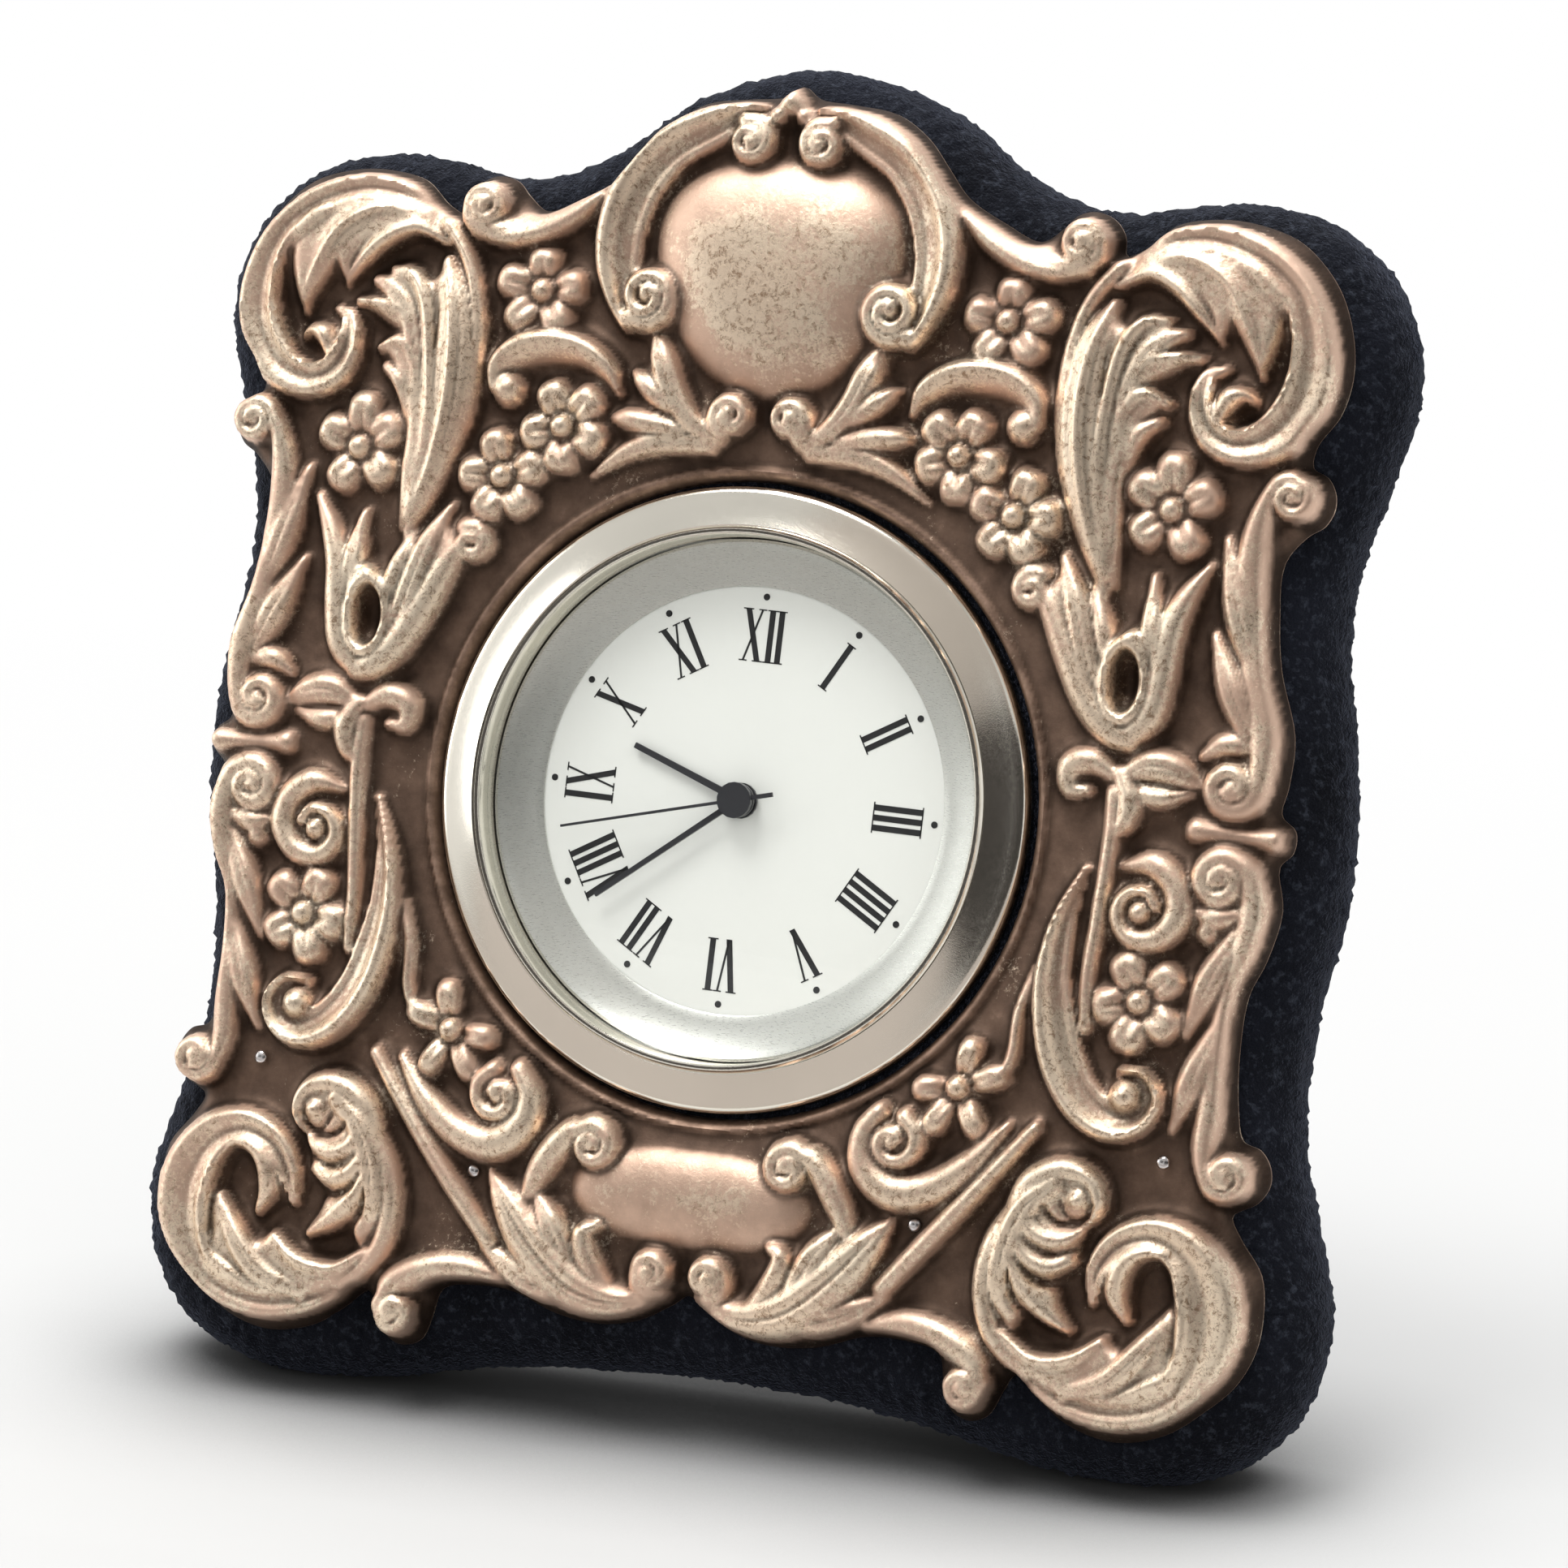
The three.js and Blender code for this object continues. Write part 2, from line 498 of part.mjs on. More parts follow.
function material(color, roughness, metalness) {
  return new THREE.MeshStandardMaterial({ color, roughness, metalness });
}
const silver = () => material(0xcdb79c, 0.32, 1);
const velvet = () => material(0x14161f, 0.95, 0);
const wood = () => material(0xa98358, 0.8, 0);
const brass = () => material(0xc9a85a, 0.35, 1);
const chrome = () => material(0xcfcac0, 0.25, 1);
const blackPlastic = () => material(0x1b1b1d, 0.5, 0);
const whitePlastic = () => material(0xe6e2da, 0.5, 0);
const steel = () => material(0xa9abad, 0.3, 1);

function piece(name, solid, look) {
  const mesh = new THREE.Mesh(geometryOf(solid), look);
  mesh.name = name;
  return mesh;
}

// Frame
const boardOutline = outlineOf(boardHalf, 66);

// A padded slab: its front and back edges are round
function paddedRings(outline, depth, round, frontSteps, backSteps) {
  const ringAt = (angle, y) => ({ outline: inset(outline, round * (1 - Math.sin(angle))), y });
  const fall = (angle) => round * (1 - Math.cos(angle));
  const rings = [];
  for (let k = 0; k <= frontSteps; k += 1) {
    const angle = (k / frontSteps) * (Math.PI / 2);
    rings.push(ringAt(angle, fall(angle)));
  }
  for (let k = backSteps; k >= 0; k -= 1) {
    const angle = (k / backSteps) * (Math.PI / 2);
    rings.push(ringAt(angle, depth - fall(angle)));
  }
  return rings;
}

const wrapRings = paddedRings(boardOutline, backY, edgeRound, 3, 2);
const heightOf = (y, z) => z * Math.cos(leanAngle) - y * Math.sin(leanAngle);
const lowest = Math.min(...wrapRings.flatMap(({ outline, y }) => outline.map((p) => heightOf(y, p.y))));
const standHeight = -(lowest + baseFlat);

// Everything below the surface that the clock stands on, in a frame turned back by an angle
function floorBlock(angle, height) {
  const reach = 6 * backY + 2 * frontWidth;
  const block = new THREE.BoxGeometry(reach, reach, reach).translate(0, 0, -reach / 2);
  return solidOf(block.translate(0, 0, -height).rotateX(angle));
}

const boardFront = wrapThickness + gap;
const boardBack = boardFront + boardThickness;
const coreOutline = new THREE.Shape(inset(boardOutline, boardInset));
const pocketOutline = new THREE.Shape(inset(boardOutline, boardInset - gap));
const panelOutline = new THREE.Shape(inset(boardOutline, panelInset));
const mouthOutline = new THREE.Shape(inset(boardOutline, panelInset - gap));

const velvetWrap = cutBy(
  loft(wrapRings),
  slab(pocketOutline, wrapThickness, boardBack + gap),
  slab(mouthOutline, boardBack, backY + overcut),
  rod(boreRadius, -overcut, backY, 40),
  floorBlock(leanAngle, standHeight),
);
const backingBoard = cutBy(slab(coreOutline, boardFront, boardBack), rod(boreRadius, 0, backY, 40));
const accessHole = rod(accessRadius, 0, backY + overcut, 32);
const backPanel = cutBy(slab(panelOutline, boardBack + gap, backY), accessHole);

// Silver front: one pressed sheet with its relief, trimmed at the opening
function silverFront() {
  let sheet = slab(new THREE.Shape(outlineOf(silverHalf, 84)), seatY - sheetThickness, seatY);
  sheet = joined(sheet, dome(upperCartouche), dome(lowerCartouche), boss(topBoss, 1));
  for (const mirror of [1, -1]) {
    for (const [x, z, radius] of scrollEnds) {
      const [endX, endZ] = [mirror * x * unit, z * unit];
      sheet = sheet.add(rod(radius * unit, seatY - sheetThickness, seatY, 10, endX, endZ));
    }
    for (const path of strokes) sheet = sheet.add(ridge(path, mirror));
    for (const spot of bosses) sheet = sheet.add(boss(spot, mirror));
    for (const spot of flowers) sheet = sheet.add(flower(spot, mirror));
  }
  const rimFront = seatY - sheetThickness - rimHeight;
  const rimOuter = openingRadius + rimWidth;
  const clear = rod(openingRadius + rimWidth / 2, rimFront - 2 * reliefHeight, overcut, 48);
  const rim = turned(
    [
      [openingRadius, seatY],
      [openingRadius, rimFront + 0.5 * rimHeight],
      [openingRadius + 0.3 * rimWidth, rimFront],
      [openingRadius + 0.7 * rimWidth, rimFront + 0.1 * rimHeight],
      [rimOuter, seatY],
    ],
    48,
  );
  return sheet.subtract(clear).add(rim);
}

// Strut: hangs from the hinge pin along its own -z, its inner face towards the panel
const knuckleRadius = pinRadius + fit + knuckleWall;
const pinY = backY + gap + knuckleRadius;
const pinZ = accessRadius + hingeAboveHole;
const strutTilt = strutAngle - leanAngle;
const pinHeight = heightOf(pinY, pinZ) + standHeight;
const leafBack = leafThickness - knuckleRadius;
const liningFront = leafBack + gap;
const coreFront = liningFront + liningThickness + gap;
const coreBack = coreFront + strutCoreThickness;
const coverBack = coreBack + gap + strutCoverThickness;
const strutTop = -(knuckleRadius + 2 * gap);
const strutLength = pinHeight / Math.cos(strutTilt);
const strutReach = strutLength + footPad;

function strutShape(narrow) {
  const top = strutTopWidth / 2 - narrow;
  const foot = strutFootWidth / 2 - narrow;
  const high = strutTop - narrow;
  const low = -strutReach;
  const shoulder = high - strutCorner;
  const [lowWaist, highWaist] = [0.7 * low, 0.45 * low];
  const shape = new THREE.Shape();
  shape.moveTo(-foot, low);
  shape.lineTo(foot, low);
  shape.bezierCurveTo(foot - strutFlare, lowWaist, top + strutFlare, highWaist, top, shoulder);
  shape.quadraticCurveTo(top, high, top - strutCorner, high);
  shape.lineTo(strutCorner - top, high);
  shape.quadraticCurveTo(-top, high, -top, shoulder);
  shape.bezierCurveTo(-top - strutFlare, highWaist, strutFlare - foot, lowWaist, -foot, low);
  return shape;
}

// The foot's lower edge is arched between its two ends
function footCut(lift) {
  const half = strutFootWidth / 2 - footPad + lift;
  const low = -strutReach - overcut;
  const peak = 2 * (footArch + lift - strutLength) - low;
  const shape = new THREE.Shape();
  shape.moveTo(-half, low);
  shape.lineTo(half, low);
  shape.quadraticCurveTo(0, peak, -half, low);
  return slab(shape, -strutReach, strutReach);
}

const strutFloor = (lift) => floorBlock(-strutTilt, pinHeight - lift);
const coreEdge = strutEdge + gap;
const strutCore = cutBy(
  slab(strutShape(coreEdge), coreFront, coreBack),
  strutFloor(coreEdge),
  footCut(coreEdge),
);
const strutPocket = cutBy(
  slab(strutShape(strutEdge), coreFront - overcut, coreBack + gap),
  strutFloor(strutEdge),
  footCut(strutEdge),
);
const strutCover = cutBy(
  slab(strutShape(0), coreFront, coverBack),
  strutPocket,
  strutFloor(0),
  footCut(0),
);
const strutLining = cutBy(
  slab(strutShape(strutEdge), liningFront, liningFront + liningThickness),
  strutFloor(strutEdge),
  footCut(strutEdge),
);

// Butt hinge: two outer knuckles on the fixed leaf, one middle knuckle on the moving leaf
function tubeAlongX(inner, outer, x0, x1) {
  const shell = new THREE.Shape().absarc(0, 0, outer, 0, 2 * Math.PI, false);
  if (inner > 0) shell.holes.push(new THREE.Path().absarc(0, 0, inner, 0, 2 * Math.PI, true));
  const options = { depth: x1 - x0, bevelEnabled: false, curveSegments: 6 };
  const geometry = new THREE.ExtrudeGeometry(shell, options);
  return solidOf(geometry.rotateY(Math.PI / 2).translate(x0, 0, 0));
}

const knuckleEnd = hingeWidth / 2;
const knuckleMid = hingeWidth / 5;
const pinBore = pinRadius + fit;
const leafNear = 0.5 * knuckleRadius;
const knuckleClear = knuckleRadius + gap;

function leaf(way) {
  const [z0, z1] = way > 0 ? [leafNear, leafLength] : [-leafLength, -leafNear];
  return box(-knuckleEnd, knuckleEnd, -knuckleRadius, leafBack, z0, z1);
}

const notch = (x0, x1) => box(x0, x1, -2 * knuckleClear, 2 * knuckleClear, -knuckleClear, knuckleClear);
const boreCut = tubeAlongX(0, pinBore, -hingeWidth, hingeWidth);
const hingeFixedLeaf = cutBy(
  joined(
    cutBy(leaf(1), notch(-knuckleMid - gap, knuckleMid + gap)),
    tubeAlongX(0, knuckleRadius, -knuckleEnd, -knuckleMid - gap),
    tubeAlongX(0, knuckleRadius, knuckleMid + gap, knuckleEnd),
  ),
  boreCut,
);
const hingeMovingLeaf = cutBy(
  joined(
    cutBy(leaf(-1), notch(-hingeWidth, -knuckleMid), notch(knuckleMid, hingeWidth)),
    tubeAlongX(0, knuckleRadius, -knuckleMid, knuckleMid),
  ),
  boreCut,
);
const hingePin = tubeAlongX(0, pinRadius, -knuckleEnd - gap, knuckleEnd + gap);

// Clock insert
const bezelInner = crystalRadius - lipWidth;
const skirtEnd = ledgeFront - gap;
const bezelSolid = turned(
  [
    [bezelRadius, seatY],
    [bezelRadius, seatY - bezelEdge],
    [caseRadius, bezelFront],
    [caseRadius - grooveWidth, bezelFront + grooveDepth],
    [caseRadius - 2 * grooveWidth, lipFront],
    [bezelInner + grooveWidth, lipFront],
    [bezelInner, lipFront + grooveDepth],
    [bezelInner, bezelFront],
    [recessRadius, bezelFront],
    [recessRadius, skirtEnd],
    [recessRadius + skirtWall, skirtEnd],
    [recessRadius + skirtWall, seatY],
  ],
  40,
);

// The crystal's dome ends inside the lip, and its flat edge lies behind the lip
const domeRings = 3;
const domeRadius = bezelInner - gap;
const crystalProfile = [];
for (let k = 0; k <= domeRings; k += 1) {
  const share = k / domeRings;
  crystalProfile.push([domeRadius * share, crystalFront - crystalDome * (1 - share * share)]);
}
crystalProfile.push([crystalRadius, crystalFront], [crystalRadius, crystalBack], [0, crystalBack]);
const crystalSolid = turned(crystalProfile, 28);

const reflectorFront = crystalBack + gap;
const reflectorBack = dialFront - gap;
const reflector = turned(
  [
    [crystalRadius, reflectorFront],
    [crystalRadius - reflectorWall, reflectorFront],
    [dialSight, reflectorBack - reflectorWall],
    [dialSight, reflectorBack],
    [dialSight + 1.5 * reflectorWall, reflectorBack],
    [crystalRadius, reflectorFront + 2 * reflectorWall],
  ],
  28,
);

const ledgeRadius = recessRadius - ledgeWidth;
const secondBore = arborRadius + fit;
const centreTube = secondBore + tubeWall;
const hourBore = centreTube + fit;
const hourTube = hourBore + tubeWall;
const dialSolid = ring(hourTube + fit, recessRadius - gap, dialFront, dialBack, 28);
const caseSolid = turned(
  [
    [recessRadius, caseBackY],
    [recessRadius, ledgeBack],
    [ledgeRadius, ledgeBack],
    [ledgeRadius, ledgeFront],
    [caseRadius, ledgeFront],
    [caseRadius, caseBackY],
  ],
  28,
);

// Rubber ring that grips the bored hole
const gripInner = caseRadius + gap;
const gripOuter = gripInner + gripWall;
const gripFront = ledgeFront + gap;
const gripRoot = gripInner + 0.5 * gripWall;
const ribPitch = gripLength / gripRibs;
const gripProfile = [[gripInner, gripFront + gripLength], [gripInner, gripFront]];
for (let k = 0; k < gripRibs; k += 1) {
  const start = gripFront + k * ribPitch;
  gripProfile.push([gripRoot, start], [gripOuter, start + 0.5 * ribPitch]);
}
gripProfile.push([gripRoot, gripFront + gripLength]);
const gripRing = turned(gripProfile, 18);

// Places of the movement's axes, seen from the front
const polar = (way, distance, x = 0, z = 0) => [x + distance * Math.cos(way), z + distance * Math.sin(way)];
const [thirdX, thirdZ] = polar(thirdWay, thirdDistance);
const [stepX, stepZ] = polar(stepWay, stepDistance);
const [rotorX, rotorZ] = polar(rotorWay, rotorDistance, stepX, stepZ);
const [minuteX, minuteZ] = polar(minuteWay, motionDistance);
const settingWay = minuteWay + Math.PI + (settingPitches * 2 * Math.PI) / teeth.minute;
const motionModule = moduleFor(motionDistance, teeth.cannon, teeth.minute);
const hourModule = moduleFor(motionDistance, teeth.minutePinion, teeth.hour);
const thirdModule = moduleFor(thirdDistance, teeth.secondPinion, teeth.third);
const centreModule = moduleFor(thirdDistance, teeth.thirdPinion, teeth.centre);
const secondModule = moduleFor(stepDistance, teeth.stepPinion, teeth.second);
const rotorModule = moduleFor(rotorDistance, teeth.rotor, teeth.step);
const settingDistance = (motionModule * (teeth.minute + teeth.setting)) / 2;
const [settingX, settingZ] = polar(settingWay, settingDistance, minuteX, minuteZ);

// Levels of the train behind the plate and of the motion work in front of it
const centreY = plateBack + gap;
const thirdY = centreY + layerPitch;
const secondY = thirdY + layerPitch;
const bridgeFront = secondY + layerPitch + gap;
const bridgeBack = bridgeFront + bridgeThickness;
const secondBack = secondY + wheelThickness;
const motionY = plateFront - gap - wheelThickness;
const motionBack = motionY + wheelThickness;
const hourY = motionY - gap - wheelThickness;
const pivotBack = bridgeBack - 0.5 * bridgeThickness;
const pivotFront = plateBack - 0.5 * plateThickness;
const pivotHole = arborRadius + fit;

const hourHandY = dialFront - gap - handThickness;
const minuteHandY = hourHandY - gap - handThickness;
const secondHandY = minuteHandY - gap - handThickness;

// A wheel, its pinion and its arbor or tube on one axis
function wheelSlab(count, module, phase, y) {
  return slab(toothed(count, module, phase, false), y, y + wheelThickness);
}
function pinionSlab(count, module, phase, y0, y1) {
  return slab(toothed(count, module, phase, true), y0, y1);
}

const hourWheel = cutBy(
  joined(
    wheelSlab(teeth.hour, hourModule, gapAt(minuteWay, teeth.hour), hourY),
    rod(hourTube, hourHandY, hourY + wheelThickness, 12),
  ),
  rod(hourBore, hourHandY - overcut, hourY + overcut, 12),
);
const minuteWheel = cutBy(
  joined(
    wheelSlab(teeth.minute, motionModule, gapAt(minuteWay + Math.PI, teeth.minute), motionY),
    pinionSlab(teeth.minutePinion, hourModule, minuteWay + Math.PI, hourY - fit, motionY + fit),
  ),
  rod(arborRadius + fit, hourY - overcut, motionY + overcut),
);
const centreWheel = cutBy(
  joined(
    wheelSlab(teeth.centre, centreModule, gapAt(thirdWay, teeth.centre), centreY),
    pinionSlab(teeth.cannon, motionModule, minuteWay, motionY - fit, motionBack + fit),
    rod(centreTube, minuteHandY, centreY + wheelThickness, 10),
  ),
  rod(secondBore, minuteHandY - overcut, centreY + overcut),
);
const thirdWheel = joined(
  wheelSlab(teeth.third, thirdModule, gapAt(thirdWay + Math.PI, teeth.third), thirdY),
  pinionSlab(teeth.thirdPinion, centreModule, thirdWay + Math.PI, centreY - fit, thirdY + fit),
  rod(arborRadius, pivotFront, pivotBack),
);
const secondWheel = joined(
  wheelSlab(teeth.second, secondModule, gapAt(stepWay, teeth.second), secondY),
  pinionSlab(teeth.secondPinion, thirdModule, thirdWay, thirdY - fit, secondY + fit),
  rod(arborRadius, secondHandY + fit, pivotBack),
);
const stepWheel = joined(
  wheelSlab(teeth.step, rotorModule, gapAt(rotorWay, teeth.step), thirdY),
  pinionSlab(teeth.stepPinion, secondModule, stepWay + Math.PI, thirdY + fit, secondBack + fit),
  rod(arborRadius, pivotFront, pivotBack),
);
const statorY = secondY - 0.5 * fit;
const rotor = joined(
  pinionSlab(teeth.rotor, rotorModule, rotorWay + Math.PI, thirdY - fit, statorY),
  rod(rotorRadius, statorY - fit, statorY + statorThickness + fit, 16),
  rod(arborRadius, pivotFront, pivotBack),
);

// Plate with the minute wheel's stud and the bridge's posts; bridge over the train
const mainPlate = cutBy(
  joined(
    rod(recessRadius - gap, plateFront, plateBack, 28),
    rod(arborRadius, hourY - 2 * fit, plateFront + overlap, 12, minuteX, minuteZ),
    ...postSpots.map(([x, z]) => rod(postRadius, plateBack - overlap, bridgeFront - fit, 8, x, z)),
  ),
  rod(centreTube + fit, plateFront - overcut, plateBack + overcut, 14),
  ...[[thirdX, thirdZ], [stepX, stepZ], [rotorX, rotorZ]].map(([x, z]) =>
    rod(pivotHole, pivotFront - fit, plateBack + overcut, 6, x, z),
  ),
  rod(stemRadius + fit, plateFront - overcut, plateBack + overcut, 12, settingX, settingZ),
);
const trainBridge = cutBy(
  rod(bridgeRadius, bridgeFront, bridgeBack, 28, bridgeX, bridgeZ),
  ...[[0, 0], [thirdX, thirdZ], [stepX, stepZ], [rotorX, rotorZ]].map(([x, z]) =>
    rod(pivotHole, bridgeFront - overcut, pivotBack + fit, 6, x, z),
  ),
);

// Motor: a U-shaped stator with the rotor's hole, and a coil on a core across its arms
const armX = coilLength / 2 + gap + armWidth;
const statorShape = new THREE.Shape();
const statorLow = rotorZ - rotorRadius - statorMargin;
const statorBar = rotorZ + rotorRadius + statorMargin;
const coreReach = 0.5 * armWidth;
statorShape.moveTo(-armX, statorLow + statorCorner);
statorShape.lineTo(statorCorner - armX, statorLow);
statorShape.lineTo(armX - statorCorner, statorLow);
statorShape.lineTo(armX, statorLow + statorCorner);
statorShape.lineTo(armX, coilZ + coreReach);
statorShape.lineTo(armX - armWidth, coilZ + coreReach);
statorShape.lineTo(armX - armWidth, statorBar);
statorShape.lineTo(armWidth - armX, statorBar);
statorShape.lineTo(armWidth - armX, coilZ + coreReach);
statorShape.lineTo(-armX, coilZ + coreReach);
const rotorHole = rotorRadius + 2 * fit;
statorShape.holes.push(new THREE.Path().absarc(rotorX, rotorZ, rotorHole, 0, 2 * Math.PI, true));
const stator = slab(statorShape, statorY, statorY + statorThickness, 8);
const coreY = statorY - fit - statorThickness;
const coilCore = box(-armX, armX, coreY, coreY + statorThickness, coilZ - coreReach, coilZ + coreReach);
const coilMiddle = coreY + 0.5 * statorThickness;

function coilSolid() {
  const shape = new THREE.Shape().absarc(0, 0, coilRadius, 0, 2 * Math.PI, false);
  const [halfY, halfZ] = [0.5 * statorThickness + fit, coreReach + fit];
  const hole = [[-halfZ, -halfY], [-halfZ, halfY], [halfZ, halfY], [halfZ, -halfY]];
  shape.holes.push(new THREE.Path(hole.map(([z, y]) => new THREE.Vector2(z, y))));
  const options = { depth: coilLength, bevelEnabled: false, curveSegments: 8 };
  const geometry = new THREE.ExtrudeGeometry(shape, options).rotateY(Math.PI / 2);
  return solidOf(geometry.translate(-coilLength / 2, coilMiddle, coilZ));
}

// Circuit, quartz, cell and contacts on the back of the plate
const cardY = plateBack + fit;
const circuitBoard = box(card.x0, card.x1, cardY, cardY + card.thickness, card.z0, card.z1);
const quartzY = cardY + card.thickness + fit + quartzRadius;

function quartzSolid() {
  const geometry = new THREE.CylinderGeometry(quartzRadius, quartzRadius, quartzLength, 12);
  const [x, z] = [(card.x0 + card.x1) / 2, (card.z0 + card.z1) / 2];
  return solidOf(geometry.rotateZ(Math.PI / 2).translate(x, quartzY, z));
}

const contactY = plateBack + fit;
const cellY = contactY + contactThickness + fit;
const cell = joined(
  rod(cellRadius, cellY + cellStep - overlap, cellY + cellThickness, 24, cellX, cellZ),
  rod(cellRadius - cellStep, cellY, cellY + cellStep, 24, cellX, cellZ),
);
const contactBack = contactY + contactThickness;
const stripZ = cellZ - contactDrop;
const lowerContact = joined(
  rod(contactRadius, contactY, contactBack, 16, cellX, cellZ),
  box(card.x1 + fit, cellX, contactY, contactBack, stripZ, stripZ + contactWidth),
);

function sideContact() {
  const inner = cellRadius + fit;
  const outer = inner + contactThickness;
  const [from, to] = [THREE.MathUtils.degToRad(-17), THREE.MathUtils.degToRad(69)];
  const shape = new THREE.Shape();
  shape.absarc(cellX, cellZ, outer, from, to, false);
  shape.absarc(cellX, cellZ, inner, to, from, true);
  return slab(shape, contactY, contactY + sideContactHeight, 6);
}

// Case back with the hatch over the cell, and the setting knob
const hatchRadius = cellRadius + gap;
const hatchHole = hatchRadius + gap;
const backCoverFront = caseBackY + gap;
const backCoverBack = backCoverFront + caseBackThickness;
const seatRadius = recessRadius - gap;
const seatFront = caseBackY - spigotLength;
const caseBack = cutBy(
  joined(
    rod(caseRadius, backCoverFront, backCoverBack, 32),
    ring(seatRadius - caseWall, seatRadius, seatFront, backCoverFront + overlap, 28),
  ),
  rod(hatchHole, seatFront, backCoverBack + overcut, 20, cellX, cellZ),
  rod(stemRadius + fit, seatFront, backCoverBack + overcut, 14, settingX, settingZ),
);
const slotFloor = backCoverBack - slotDepth;
const [slotX, slotZ] = [slotLength / 2, slotWidth / 2];
const hatch = cutBy(
  joined(
    rod(hatchRadius, backCoverFront, backCoverBack, 20),
    ring(hatchRadius - hatchWall, hatchRadius, cellY + cellThickness + gap, backCoverFront + overlap, 20),
  ),
  box(-slotX, slotX, slotFloor, backCoverBack + overcut, -slotZ, slotZ),
);
const knobFront = backCoverBack + gap;
const knobProfile = [];
for (let i = 0; i < 2 * knurls; i += 1) {
  const radius = i % 2 ? knobRadius : knobRadius - knurlDepth;
  const angle = (i * Math.PI) / knurls;
  knobProfile.push(new THREE.Vector2(radius * Math.cos(angle), radius * Math.sin(angle)));
}
const settingKnob = joined(
  slab(new THREE.Shape(knobProfile), knobFront, knobFront + knobHeight),
  rod(stemRadius, motionY, knobFront + overlap, 12),
  pinionSlab(teeth.setting, motionModule, settingWay + Math.PI, motionY - fit, motionBack + fit),
);

// Hands: each points up and is then turned to its place on the dial; a cap closes the front of a bore
function handSolid({ length, width, hub, tail = 0, tailWidth = width, cap = 0 }, bore, y) {
  const [root, tip] = [width / 2, (tipShare * width) / 2];
  const blade = new THREE.Shape();
  blade.moveTo(-root, 0);
  blade.lineTo(-tip, length);
  blade.lineTo(tip, length);
  blade.lineTo(root, 0);
  let hand = slab(blade, y, y + handThickness);
  hand = hand.add(rod(hub, y - cap, y + handThickness, 18));
  if (tail > 0) hand = hand.add(box(-tailWidth / 2, tailWidth / 2, y, y + handThickness, -tail, 0));
  const boreFront = cap > 0 ? y : y - overcut;
  return hand.subtract(rod(bore, boreFront, y + overcut, 10));
}

function placedHand(name, sizes, bore, y) {
  const mesh = piece(name, handSolid(sizes, bore, y), material(0x3a3a3c, 0.4, 0.6));
  mesh.rotation.y = THREE.MathUtils.degToRad(sizes.angle);
  return mesh;
}

function placed(mesh, x, z) {
  mesh.position.set(x, 0, z);
  return mesh;
}

// Assembly
const frame = new THREE.Group();
frame.add(
  piece("silver_front", silverFront(), silver()),
  piece("velvet_wrap", velvetWrap, velvet()),
  piece("backing_board", backingBoard, wood()),
  piece("back_panel", backPanel, velvet()),
);

const hinge = new THREE.Group();
hinge.position.set(0, pinY, pinZ);
hinge.add(piece("hinge_fixed_leaf", hingeFixedLeaf, brass()), piece("hinge_pin", hingePin, brass()));
const strut = new THREE.Group();
strut.rotation.x = strutAngle;
strut.add(
  piece("strut_core", strutCore, wood()),
  piece("strut_cover", strutCover, velvet()),
  piece("strut_lining", strutLining, velvet()),
  piece("hinge_moving_leaf", hingeMovingLeaf, brass()),
);
hinge.add(strut);

const insert = new THREE.Group();
insert.add(
  piece("bezel", bezelSolid, chrome()),
  piece("crystal", crystalSolid, material(0xf4f6f6, 0.02, 0)),
  piece("reflector_ring", reflector, chrome()),
  piece("dial", dialSolid, material(0xefece4, 0.6, 0)),
  piece("case_body", caseSolid, blackPlastic()),
  piece("grip_ring", gripRing, material(0xd8d5cc, 0.7, 0)),
  piece("case_back", caseBack, blackPlastic()),
  placed(piece("battery_hatch", hatch, blackPlastic()), cellX, cellZ),
  placed(piece("setting_knob", settingKnob, blackPlastic()), settingX, settingZ),
  placedHand("hour_hand", hourHand, hourTube + fit, hourHandY),
  placedHand("minute_hand", minuteHand, centreTube + fit, minuteHandY),
  placedHand("second_hand", secondHand, arborRadius + fit, secondHandY),
);

const movement = new THREE.Group();
movement.add(
  piece("main_plate", mainPlate, whitePlastic()),
  piece("train_bridge", trainBridge, whitePlastic()),
  piece("centre_wheel", centreWheel, brass()),
  piece("hour_wheel", hourWheel, whitePlastic()),
  placed(piece("minute_wheel", minuteWheel, whitePlastic()), minuteX, minuteZ),
  placed(piece("third_wheel", thirdWheel, whitePlastic()), thirdX, thirdZ),
  piece("second_wheel", secondWheel, whitePlastic()),
  placed(piece("step_wheel", stepWheel, whitePlastic()), stepX, stepZ),
  placed(piece("rotor", rotor, material(0x3c3c40, 0.4, 0.4)), rotorX, rotorZ),
  piece("stator", stator, steel()),
  piece("coil_core", coilCore, steel()),
  piece("coil", coilSolid(), material(0xb26a3c, 0.4, 0.8)),
  piece("circuit_board", circuitBoard, material(0x2f6b46, 0.6, 0)),
  piece("quartz_can", quartzSolid(), steel()),
  piece("button_cell", cell, steel()),
  piece("lower_contact", lowerContact, steel()),
  piece("side_contact", sideContact(), steel()),
);
insert.add(movement);

const clock = new THREE.Group();
clock.rotation.x = -leanAngle;
clock.position.z = standHeight;
clock.add(frame, hinge, insert);

// The origin lies under the middle of the whole clock, on the surface that it stands on
const part = new THREE.Group();
part.name = "easel_clock";
part.add(clock);
part.updateMatrixWorld(true);
const extent = new THREE.Box3().setFromObject(part, true);
clock.position.y -= (extent.min.y + extent.max.y) / 2;

export default part;
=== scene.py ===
"""Easel clock: a worn pressed silver front on a padded velvet board, with a push-in quartz clock.

Shapes are drawn in millimetres in the clock's own frame, which leans back with the board: x to the
right, y to the back and z up, from the dial's centre on the front of the velvet. world() brings
them into the row frame, in metres.
"""

import json
import math

